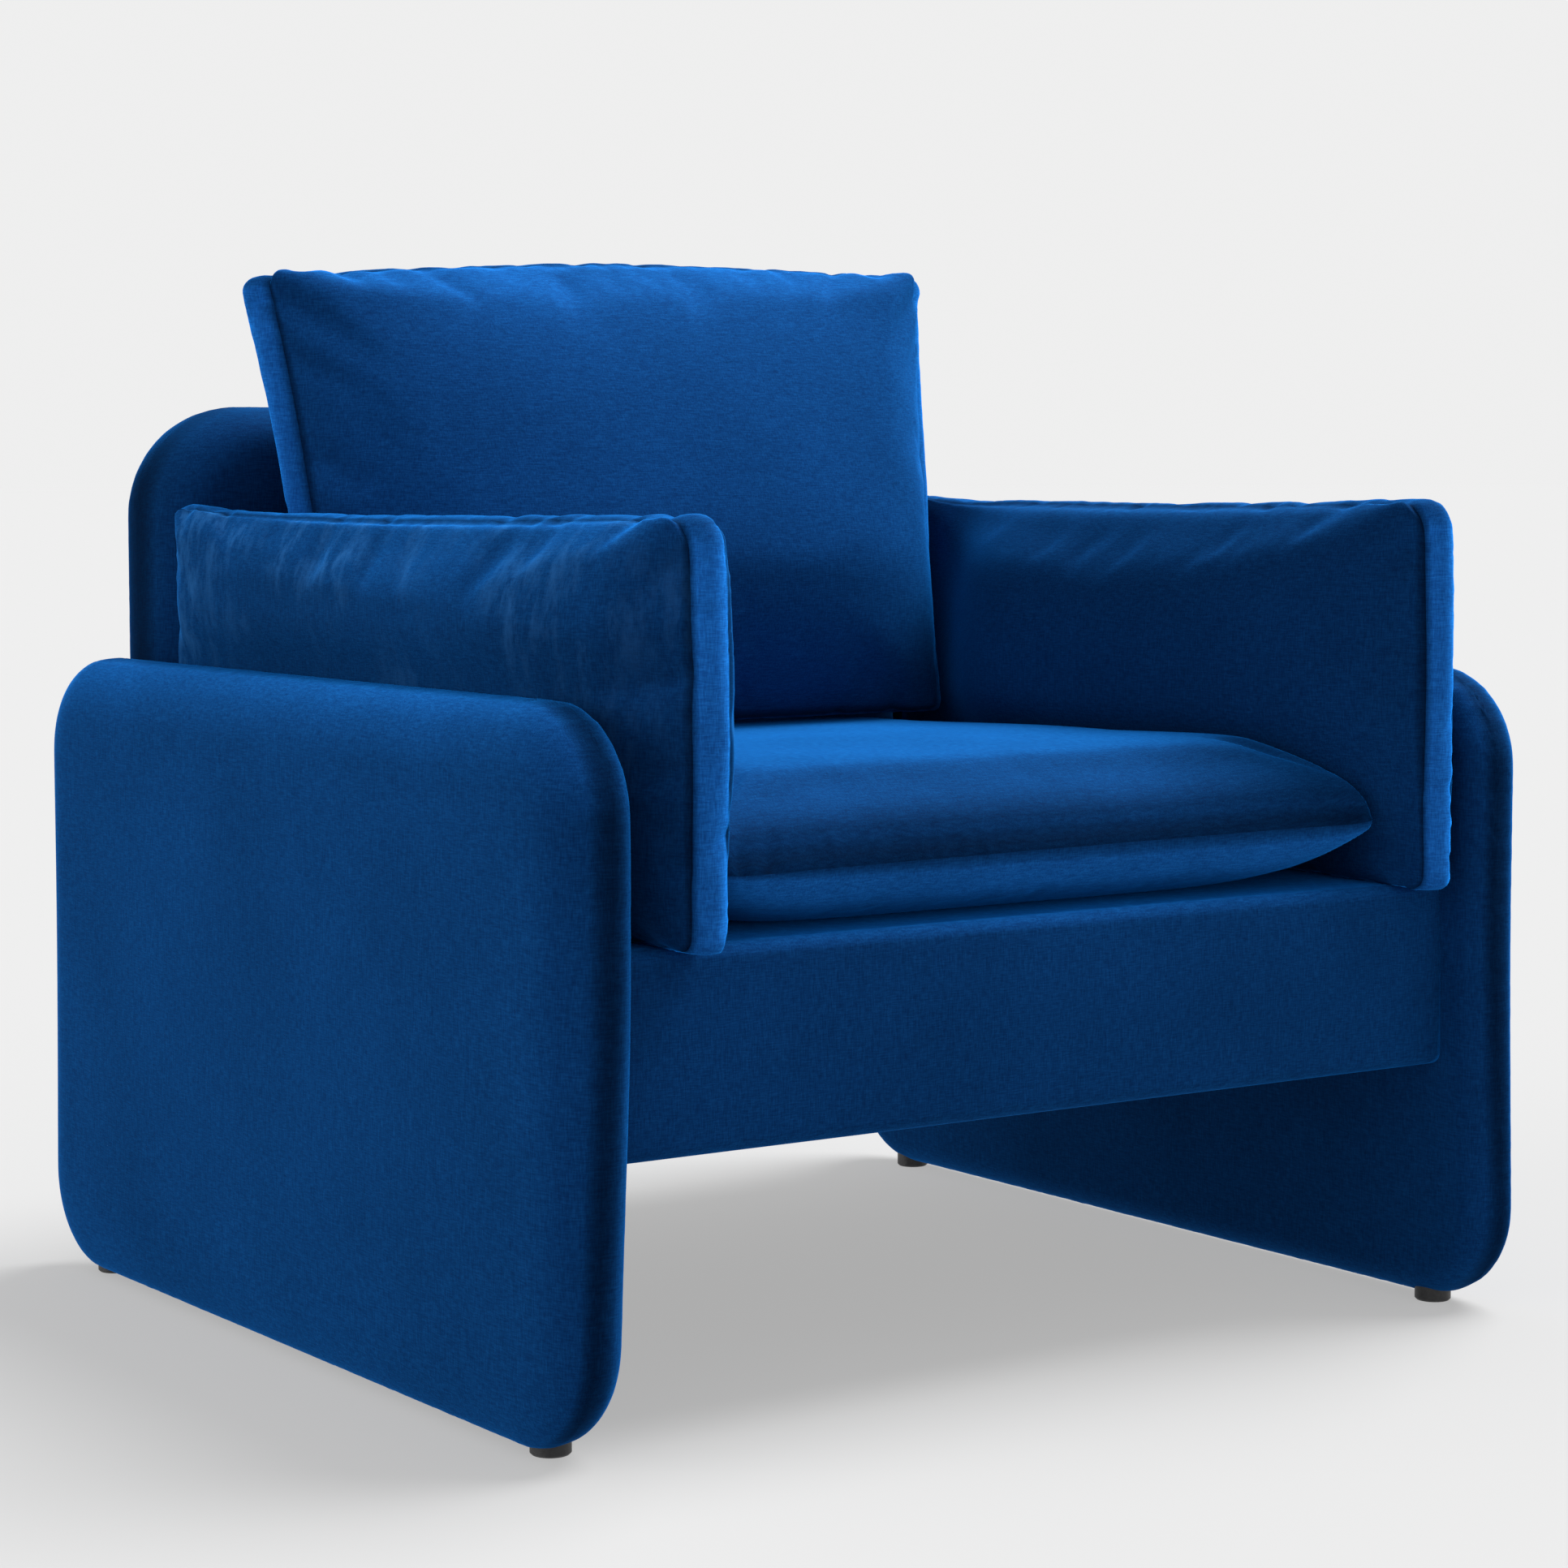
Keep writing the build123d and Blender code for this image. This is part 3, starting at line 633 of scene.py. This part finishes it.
# copies of one velvet that differ mainly in their painted light and shade
VELVET_UPRIGHT = velvet("velvet_upright", GRAIN_UP, PAINTED_LIGHT_UP, UPRIGHT_TONES)
VELVET_ARM = velvet("velvet_arm", GRAIN_UP, PAINTED_LIGHT_UP, ARM_TONES)
VELVET_PANEL = velvet("velvet_panel", GRAIN_UP, PAINTED_LIGHT_FORWARD, PANEL_TONES)
VELVET_BACK = velvet("velvet_back_cushion", GRAIN_UP, PAINTED_LIGHT_UP, BACK_TONES)
VELVET_PILLOW = velvet("velvet_pillow", GRAIN_UP, PAINTED_LIGHT_UP, PILLOW_TONES)
VELVET_CRUSHED = velvet("velvet_crushed", GRAIN_UP, PAINTED_LIGHT_UP, CRUSHED_TONES, crush=0.80)
VELVET_STRIP = velvet("velvet_strip", GRAIN_UP, PAINTED_LIGHT_UP, STRIP_TONES)
VELVET_UNDER = velvet("velvet_under", GRAIN_UP, PAINTED_LIGHT_UP, UNDER_TONES)
VELVET_SEAT_TOP = velvet("velvet_seat_top", GRAIN_ALONG, PAINTED_LIGHT_BACK_AND_UP, SEAT_TOP_TONES)
FINISHES = {
    "velvet": VELVET_UPRIGHT,
    "foam": cloth_like("foam", (0.62, 0.57, 0.40, 1), (0.80, 0.76, 0.60, 1), 420),
    "cushion_fill": cloth_like("cushion_fill", (0.74, 0.73, 0.70, 1), (0.88, 0.87, 0.84, 1), 160),
    "timber": wood("timber", (0.33, 0.19, 0.09, 1), (0.55, 0.37, 0.20, 1), GRAIN_ALONG),
    "plywood": wood("plywood", (0.42, 0.28, 0.15, 1), (0.62, 0.46, 0.28, 1), GRAIN_ALONG),
    "zinc_steel": zinc("zinc_steel"),
    "webbing": cloth_like("webbing", (0.010, 0.010, 0.012, 1), (0.035, 0.035, 0.040, 1), 700),
    "dust_cloth": cloth_like("dust_cloth", (0.006, 0.006, 0.007, 1), (0.020, 0.020, 0.022, 1), 900),
    "foot_plastic": cloth_like(
        "foot_plastic", (0.006, 0.006, 0.007, 1), (0.015, 0.015, 0.016, 1), 350, roughness=0.45
    ),
}


def dress(piece, material, body, slot, *nodes, second=None):
    """Gives a piece its material and the body it rides on, and hides the CAD nodes it stands for.

    The second material is for the faces that a Pad marks in its strip.
    """
    piece.data.materials.append(material)
    piece.data.materials.append(second or material)
    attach(piece, body)
    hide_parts(*nodes)


for part in frame["record"]["subparts"]:
    node = frame["nodes"][part["node"]]
    for material_slot in node.material_slots:
        material_slot.material = FINISHES[part["material_slot"]]


# ---- slab arms ----------------------------------------------------------------------------------
ARM_CORNER = 82 * MM
ARM_SEAM_FROM_INSIDE = 20 * MM
ARM_SEAM_DRIFT = 17 * MM
ARM_NARROWING = (4 * MM, 5 * MM)    # the inner face comes in at the top and goes out at the foot


def make_arm(side_name, side):
    """A slab arm: flat faces, a deep roll outside, a small one inside, and a seam at the crest.

    The seam runs near the inner face along the top and wanders outwards towards the floor.
    """
    low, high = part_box(side_name + "_arm_cover")
    counts = (108, 66)
    half = ((high.y - low.y) / 2, (high.z - low.z) / 2)
    thickness = high.x - low.x
    outer_height = thickness - ARM_SEAM_FROM_INSIDE
    front = to_middle(roll(64 * MM, outer_height, 16, 2.6, 2.4), counts, half, 2.5 * MM)
    rear = to_middle(roll(24 * MM, ARM_SEAM_FROM_INSIDE, 10), counts, half)
    pad = Pad(counts, half, (ARM_CORNER,) * 4, front, rear)
    inner_x = min(abs(low.x), abs(high.x))
    middle_z = (low.z + high.z) / 2
    along, up, out = pad.verts.T
    downward = smooth_step(-up / half[1], -0.35, 1.0)
    at_seam = np.where(pad.side < 0, 1 + out / ARM_SEAM_FROM_INSIDE, 1 - out / outer_height)
    shift = np.clip(at_seam, 0, 1) * downward * ARM_SEAM_DRIFT
    narrowing = np.where(pad.side < 0, np.clip(-out / ARM_SEAM_FROM_INSIDE, 0, 1), 0)
    lean_top, lean_foot = ARM_NARROWING
    inward = narrowing * (lean_foot * downward - lean_top * (1 - downward))
    x = inner_x + ARM_SEAM_FROM_INSIDE + out + shift + inward
    pad.verts = np.stack([side * x, along, middle_z + up], axis=1)
    piece = pad.object(side_name + "_arm")
    face_outwards(piece)
    subdivide(piece)
    front_top = Vector((side * (inner_x + 20 * MM), low.y + 30 * MM, high.z - 30 * MM))
    puckers(piece, 0.6 * MM, 9 * MM, 7 * MM, 3.1 + side, [(front_top, 70 * MM)])
    sink_seams(piece, SEAM_DEPTH)
    dress(piece, VELVET_ARM, "frame", "velvet", side_name + "_arm_cover", side_name + "_arm_foam")


for side_name, side in SIDES.items():
    make_arm(side_name, side)


# ---- back panel ---------------------------------------------------------------------------------
BACK_FOOT_CORNER, BACK_TOP_CORNER = 24 * MM, 97 * MM
BACK_FRONT_SHARE = 0.58     # of the panel's thickness, in front of its seam


def make_back():
    """The back panel: a thick slab with large top corners and rolled edges."""
    low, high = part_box("back_cover")
    counts = (92, 64)
    half = ((high.x - low.x) / 2, (high.z - low.z) / 2)
    thickness = high.y - low.y
    front_depth = BACK_FRONT_SHARE * thickness
    front = to_middle(roll(44 * MM, front_depth, 13, 2.4, 2.4), counts, half, 2 * MM)
    rear = to_middle(roll(34 * MM, thickness - front_depth, 12, 2.3, 2.3), counts, half, 2 * MM)
    corners = (BACK_FOOT_CORNER, BACK_FOOT_CORNER, BACK_TOP_CORNER, BACK_TOP_CORNER)
    pad = Pad(counts, half, corners, front, rear)
    across, up, out = pad.verts.T
    seam_y = low.y + front_depth
    pad.verts = np.stack([across, seam_y - out, (low.z + high.z) / 2 + up], axis=1)
    piece = pad.object("back_panel")
    face_outwards(piece)
    subdivide(piece)
    puckers(piece, 0.6 * MM, 10 * MM, 8 * MM, 8.2)
    sink_seams(piece, SEAM_DEPTH)
    dress(piece, VELVET_PANEL, "frame", "velvet", "back_cover", "back_foam")


make_back()


# ---- seat box -----------------------------------------------------------------------------------
BOX_EDGE = 9 * MM
BOX_HEM = 60 * MM
BOX_COVER = 1.6 * MM
APRON_SWELL = 1.5 * MM
APRON_RIPPLE, RIPPLES = 0.7 * MM, 6     # how deep the apron's ripples are, and how many a metre


def seat_box_section(low, high):
    """The cover's line in the side view, as (y, z): deck, front edge, apron, lower edge and hem."""
    deck_steps, arc_steps, apron_steps, hem_steps = 26, 8, 14, 4
    front, edge = low.y, BOX_EDGE
    section = [(high.y, high.z)]
    for k in range(1, deck_steps + 1):
        section.append((high.y + (front + edge - high.y) * k / deck_steps, high.z))
    for k in range(1, arc_steps + 1):
        angle = math.pi / 2 * k / arc_steps
        y = front + edge - edge * math.sin(angle)
        section.append((y, high.z - edge + edge * math.cos(angle)))
    for k in range(1, apron_steps + 1):
        share = k / apron_steps
        swell = APRON_SWELL * math.sin(share * math.pi)
        section.append((front - swell, high.z - edge + (low.z + 2 * edge - high.z) * share))
    for k in range(1, arc_steps + 1):
        angle = math.pi / 2 * k / arc_steps
        y = front + edge - edge * math.cos(angle)
        section.append((y, low.z + edge - edge * math.sin(angle)))
    for k in range(1, hem_steps + 1):
        section.append((front + edge + BOX_HEM * k / hem_steps, low.z))
    return section


def make_seat_box():
    """The velvet over the seat box: deck, rounded front edge, apron and a turned-under hem."""
    low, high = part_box("seat_base_cover")
    section = seat_box_section(low, high)
    columns = 90
    verts, faces = [], []
    for c in range(columns + 1):
        x = low.x + (high.x - low.x) * c / columns
        for y, z in section:
            ripple = APRON_RIPPLE * noise.noise(Vector([RIPPLES * place for place in (x, y, z)]))
            verts.append((x, y + ripple * (y < low.y + BOX_EDGE), z))
    rows = len(section)
    for c in range(columns):
        for r in range(rows - 1):
            a = c * rows + r
            faces.append((a, a + 1, a + rows + 1, a + rows))
    mesh = bpy.data.meshes.new("seat_box")
    mesh.from_pydata(verts, [], faces)
    mesh.update()
    seamless = [1.0] * len(verts)
    mesh.attributes.new("seam_distance", "FLOAT", "POINT").data.foreach_set("value", seamless)
    piece = bpy.data.objects.new("seat_box", mesh)
    bpy.context.scene.collection.objects.link(piece)
    mesh.polygons.foreach_set("use_smooth", [True] * len(mesh.polygons))
    thick = piece.modifiers.new("Thickness", "SOLIDIFY")
    thick.thickness = BOX_COVER
    thick.offset = 1
    dress(piece, VELVET_UPRIGHT, "frame", "velvet", "seat_base_cover", "apron_foam")


make_seat_box()


# ---- loose cushions -----------------------------------------------------------------------------
def finish_cushion(piece, pad, depth, reach, seed):
    """Subdivides a shaped cushion, gathers its fabric at the seams and sinks the seam lines."""
    corners = corners_of(pad, piece)
    subdivide(piece)
    puckers(piece, depth, reach, 9 * MM, seed, corners)
    puckers(piece, 0.6 * depth, 2.4 * reach, 21 * MM, seed + 7, corners)
    sink_seams(piece, CUSHION_SEAM_DEPTH)


SEAT_SEAM = 52 * MM             # height of the seat cushion's seam over its underside
SEAT_CROWN = 59 * MM            # rise of its top over the seam
SEAT_CROWN_CORNER = 5 * MM      # more of it at the right front corner
SEAT_CROWN_FALL = 9 * MM        # less of it towards the back
SEAT_SPREAD = 12 * MM           # how far the right front corner reaches out


def make_seat_cushion():
    """The seat cushion: a knife-edge cushion, flat below, crowned on top, with pointed corners."""
    low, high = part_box("seat_cushion_cover")
    counts = (76, 86)
    half = ((high.x - low.x) / 2, (high.y - low.y) / 2)
    seam_z = low.z + SEAT_SEAM
    rings = seam_rings(counts, half)
    pad = Pad(counts, half, (7 * MM,) * 4, rings, rings)
    pad.strip = [0, 1] * (counts[0] * counts[1])
    across, along, _ = pad.verts.T
    u, v = across / half[0], along / half[1]
    shape = np.clip(1 - np.abs(u) ** 18, 0, 1) ** 0.36 * np.clip(1 - np.abs(v) ** 8, 0, 1) ** 0.38
    right_front = smooth_step(u, 0.3, 0.9) * smooth_step(-v, 0.2, 0.9)
    backward = smooth_step(v, -0.3, 0.7)
    crown = SEAT_CROWN + SEAT_CROWN_CORNER * right_front - SEAT_CROWN_FALL * backward
    top = crown * shape
    below = SEAT_SEAM * np.minimum(1.08 * dome(u, v, 7.0, 0.60), 1)
    up = np.where(pad.side > 0, top, -below) * (pad.inset > 0)
    pinch_x = 8 * MM * u * (1 - v**2) * np.exp(-np.abs(up) / (60 * MM))
    pinch_y = 5 * MM * v * (1 - u**2) * np.exp(-np.abs(up) / (60 * MM))
    rise = 3 * MM * u * (pad.inset == 0)
    middle_y = (low.y + high.y) / 2
    spread = SEAT_SPREAD * smooth_step(u, 0.2, 1.0) * smooth_step(-v, 0.4, 1.0)
    x = across - pinch_x + spread
    pad.verts = np.stack([x, middle_y + along - pinch_y, seam_z + up + rise], axis=1)
    piece = pad.object("seat_cushion")
    face_outwards(piece)
    on_deck = (pad.side < 0) & (pad.inset > 40 * MM)
    held = np.where(on_deck, 1.0, np.where(pad.inset == 0, 0.8, 0.0))
    inflate(piece, held, 3.5, 0.005, 8 * MM)
    places = coordinates(piece)
    places[:, 0] = np.clip(places[:, 0], low.x, high.x + SEAT_SPREAD)
    places[:, 1] = np.clip(places[:, 1], low.y, high.y)
    places[:, 2] = np.clip(places[:, 2], low.z, high.z + 6 * MM)
    set_coordinates(piece, places)
    finish_cushion(piece, pad, 0.8 * MM, 14 * MM, 5.5)
    nodes = ("seat_cushion_cover", "seat_cushion_insert")
    # painted light and shade on the top half; the lower half painted lighter, for light from the
    # floor
    dress(piece, VELVET_SEAT_TOP, "seat_cushion", "velvet", *nodes, second=VELVET_UNDER)


make_seat_cushion()

SEAM_HOLD = 0.35                # how firmly the gusset's seams are held while the cover is blown up
BACK_LEAN = math.radians(10.8)
BACK_LENGTH = 408 * MM          # of the back cushion along its lean
BACK_FOOT_Y = 182 * MM          # where its lower seam stands
BACK_WIDTHS = ((-1, 0, 1), (312 / 343, 331 / 343, 1.0))     # at its foot, middle and top
BACK_BELLY, BACK_REAR_BELLY = 84 * MM, 66 * MM


def make_back_cushion():
    """The back cushion: plump low down, thin at its narrow gusset, leaning on the back panel."""
    low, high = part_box("back_cushion_cover")
    counts = (86, 52)
    half = ((high.x - low.x) / 2, BACK_LENGTH / 2)
    rings = seam_rings(counts, half)
    pad = Pad(counts, half, (14 * MM,) * 4, rings, rings, GUSSET)
    across, along, out = pad.verts.T
    u, v = across / half[0], along / half[1]
    low_belly = 1 - 0.30 * (v + 0.35) * (v > -0.35)
    front = BACK_BELLY * dome(u, v, 2.5, 0.58) * low_belly
    rear = BACK_REAR_BELLY * dome(u, v, 2.7, 0.58)
    out = out + np.where(pad.side > 0, front, np.where(pad.side < 0, -rear, 0)) * (pad.inset > 0)
    width = np.interp(v, *BACK_WIDTHS)
    edge = np.exp(-pad.inset / (90 * MM))
    across = across * width - 12 * MM * u * (1 - v**2) * edge
    crown = 9 * MM * (1 - u**2) * np.clip(v, 0, 1)
    tilt = np.where(u < 0, 13, 5) * MM * u * np.clip(v, 0, 1)
    top_roll = rolled_over(pad.inset, 14 * MM) * smooth_step(v, 0.70, 0.93)
    top_roll = np.where(pad.side > 0, top_roll, 0) - 5 * MM * smooth_step(v, 0.8, 1.0)
    along = along + crown + tilt + top_roll
    side_roll = rolled_over(pad.inset, 5 * MM) * smooth_step(np.abs(u), 0.8, 0.95)
    across = across + side_roll * np.sign(u)
    lean_up = np.array([0, math.sin(BACK_LEAN), math.cos(BACK_LEAN)])
    lean_front = np.array([0, -math.cos(BACK_LEAN), math.sin(BACK_LEAN)])
    seat_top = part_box("seat_cushion_cover")[1].z
    foot = np.array([0, BACK_FOOT_Y, seat_top - 1 * MM])
    centre = foot + lean_up * (half[1] - 6 * MM)
    sideways = np.array([1, 0, 0])
    pad.verts = (
        centre + np.outer(across, sideways) + np.outer(along, lean_up) + np.outer(out, lean_front)
    )
    piece = pad.object("back_cushion")
    face_outwards(piece)
    held = np.where(pad.inset == 0, SEAM_HOLD, 0.0)
    inflate(piece, held, 3.5, 0.007, 12 * MM)
    places = coordinates(piece)
    places[:, 1] = np.minimum(places[:, 1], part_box("back_cover")[0].y - 1 * MM)
    places[:, 2] = np.maximum(places[:, 2], seat_top - 5 * MM)
    set_coordinates(piece, places)
    finish_cushion(piece, pad, 0.5 * MM, 14 * MM, 12.5)
    nodes = ("back_cushion_cover", "back_cushion_insert")
    # the gusset strip gets a painted highlight
    dress(piece, VELVET_BACK, "back_cushion", "velvet", *nodes, second=VELVET_STRIP)


make_back_cushion()

PILLOW_FRONT_X = {"left": 338 * MM, "right": 361 * MM}     # middle of the gusset at the front end
PILLOW_BELLY_X = 276 * MM                                   # how far the belly may come inwards
PILLOW_CORNERS = (12 * MM, 12 * MM, 14 * MM, 24 * MM)
PILLOW_LEAST_BELLY = 3 * MM
OVER_ARM = 9 * MM               # how far a pillow swells out over the top of its arm
OVER_ARM_START = 4 * MM         # above the arm's top
HALF_CHAIR_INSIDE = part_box("right_arm_cover")[0].x


def make_pillow(side_name, side):
    """An arm pillow: a thin gusset all round, a full belly, pinched behind by the back cushion."""
    low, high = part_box(side_name + "_pillow_cover")
    counts = (92, 42)
    half = ((high.y - low.y) / 2, (high.z - low.z) / 2)
    rings = seam_rings(counts, half)
    pad = Pad(counts, half, PILLOW_CORNERS, rings, rings, GUSSET)
    along, up, out = pad.verts.T
    u, v = along / half[0], up / half[1]
    front_x = PILLOW_FRONT_X[side_name]
    outer_x = HALF_CHAIR_INSIDE - 5 * MM
    rear_x = outer_x - GUSSET / 2 - 2 * MM
    seam_x = rear_x + (front_x - rear_x) * np.clip((1 - u) / 2, 0, 1)
    fullness = dome(u, v, 2.5, 0.55) * (pad.inset > 0)
    inner_limit = PILLOW_BELLY_X + 88 * MM * smooth_step(u, 0.25, 0.95)
    belly_in = np.maximum(seam_x - GUSSET / 2 - inner_limit, PILLOW_LEAST_BELLY)
    press = 0.14 + 0.86 * smooth_step(v, -0.78, -0.10)
    belly_out = np.maximum(outer_x - seam_x - GUSSET / 2, PILLOW_LEAST_BELLY)
    inner = seam_x - GUSSET / 2 - fullness * belly_in * press
    arm_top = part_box("left_arm_cover")[1].z
    over_low = arm_top + OVER_ARM_START
    over_arm = OVER_ARM * smooth_step((low.z + high.z) / 2 + up, over_low, arm_top + 60 * MM)
    outer = seam_x + GUSSET / 2 + fullness * (belly_out + over_arm)
    x = np.where(pad.side > 0, inner, np.where(pad.side < 0, outer, seam_x - out))
    edge = np.exp(-pad.inset / (90 * MM))
    along = along - np.where(u < 0, -4, 5) * MM * u * (1 - v**2) * edge
    up = up - 5 * MM * v * (1 - u**2) * edge - (side < 0) * 7 * MM * np.clip(v, 0, 1)
    top_roll = rolled_over(pad.inset, 12 * MM) * (pad.side == (1 if side > 0 else -1))
    up = up + (top_roll - 4 * MM) * smooth_step(v, 0.70, 0.93)
    middle = ((low.y + high.y) / 2, (low.z + high.z) / 2)
    pad.verts = np.stack([side * x, middle[0] + along, middle[1] + up], axis=1)
    piece = pad.object(side_name + "_pillow")
    face_outwards(piece)
    held = np.where(pad.inset == 0, SEAM_HOLD, 0.0)
    inflate(piece, held, 3.0, 0.008, 9 * MM)
    places = coordinates(piece)
    places[:, 2] = np.maximum(places[:, 2], low.z)
    room = outer_x + 2 * MM + OVER_ARM * smooth_step(places[:, 2], over_low, arm_top + 40 * MM)
    places[:, 0] = side * np.minimum(side * places[:, 0], room)
    set_coordinates(piece, places)
    finish_cushion(piece, pad, 0.65 * MM, 14 * MM, 20.5 + side)
    material = VELVET_CRUSHED if side < 0 else VELVET_PILLOW
    nodes = (side_name + "_pillow_cover", side_name + "_pillow_insert")
    # the gusset strip gets a painted highlight
    dress(piece, material, side_name + "_pillow", "velvet", *nodes, second=VELVET_STRIP)


for side_name, side in SIDES.items():
    make_pillow(side_name, side)


# ---- stage --------------------------------------------------------------------------------------
FLOOR_REACH = 120.0
FLOOR_TONE, FLOOR_GLOW = 0.17, 0.404    # the glow keeps the chair's shadow light
WALL_TONE = 0.86


def make_floor():
    """A plain pale floor."""
    mesh = bpy.data.meshes.new("floor")
    turns = ((-1, -1), (1, -1), (1, 1), (-1, 1))
    verts = [(x * FLOOR_REACH, y * FLOOR_REACH, 0) for x, y in turns]
    mesh.from_pydata(verts, [], [(0, 1, 2, 3)])
    floor = bpy.data.objects.new("floor", mesh)
    bpy.context.scene.collection.objects.link(floor)
    shader = Shader("floor")
    shader.surface.inputs["Base Color"].default_value = grey(FLOOR_TONE)
    shader.surface.inputs["Emission Color"].default_value = grey(1)
    shader.surface.inputs["Emission Strength"].default_value = FLOOR_GLOW
    shader.surface.inputs["Roughness"].default_value = 0.9
    shader.surface.inputs["Specular IOR Level"].default_value = 0.0
    mesh.materials.append(shader.material)


def soft_sun(name, direction, spread, strength):
    """A broad, even studio light that comes from one direction."""
    data = bpy.data.lights.new(name, "SUN")
    data.angle = math.radians(spread)
    data.energy = strength
    lamp = bpy.data.objects.new(name, data)
    bpy.context.scene.collection.objects.link(lamp)
    lamp.rotation_euler = Vector(direction).to_track_quat("Z", "Y").to_euler()


make_floor()
soft_sun("key_light", (0.62, 0.0, 1.0), 40, 6.5)
soft_sun("side_light", (-1.0, 0.3, 0.15), 50, 1.45)
world = bpy.data.worlds.new("studio")
bpy.context.scene.world = world
world.use_nodes = True
background = world.node_tree.nodes["Background"]
background.inputs["Color"].default_value = grey(WALL_TONE)
background.inputs["Strength"].default_value = 1.0


# ---- camera -------------------------------------------------------------------------------------
CAMERA_PLACE = Vector((-3.2899, -4.8205, 1.2994))   # in arm heights
CAMERA_TURN, CAMERA_DIP = math.radians(34.6465), math.radians(4.8585)
CAMERA_LENS, CAMERA_SENSOR = 85.0, 36
arm_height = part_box("right_arm_cover")[1].z
camera_data = bpy.data.cameras.new("camera")
camera_data.sensor_width = CAMERA_SENSOR
camera_data.lens = CAMERA_LENS
camera = bpy.data.objects.new("camera", camera_data)
bpy.context.scene.collection.objects.link(camera)
camera.location = CAMERA_PLACE * arm_height
camera.rotation_euler = (math.pi / 2 - CAMERA_DIP, 0, -CAMERA_TURN)
bpy.context.scene.camera = camera
bpy.context.scene.view_settings.view_transform = "Standard"
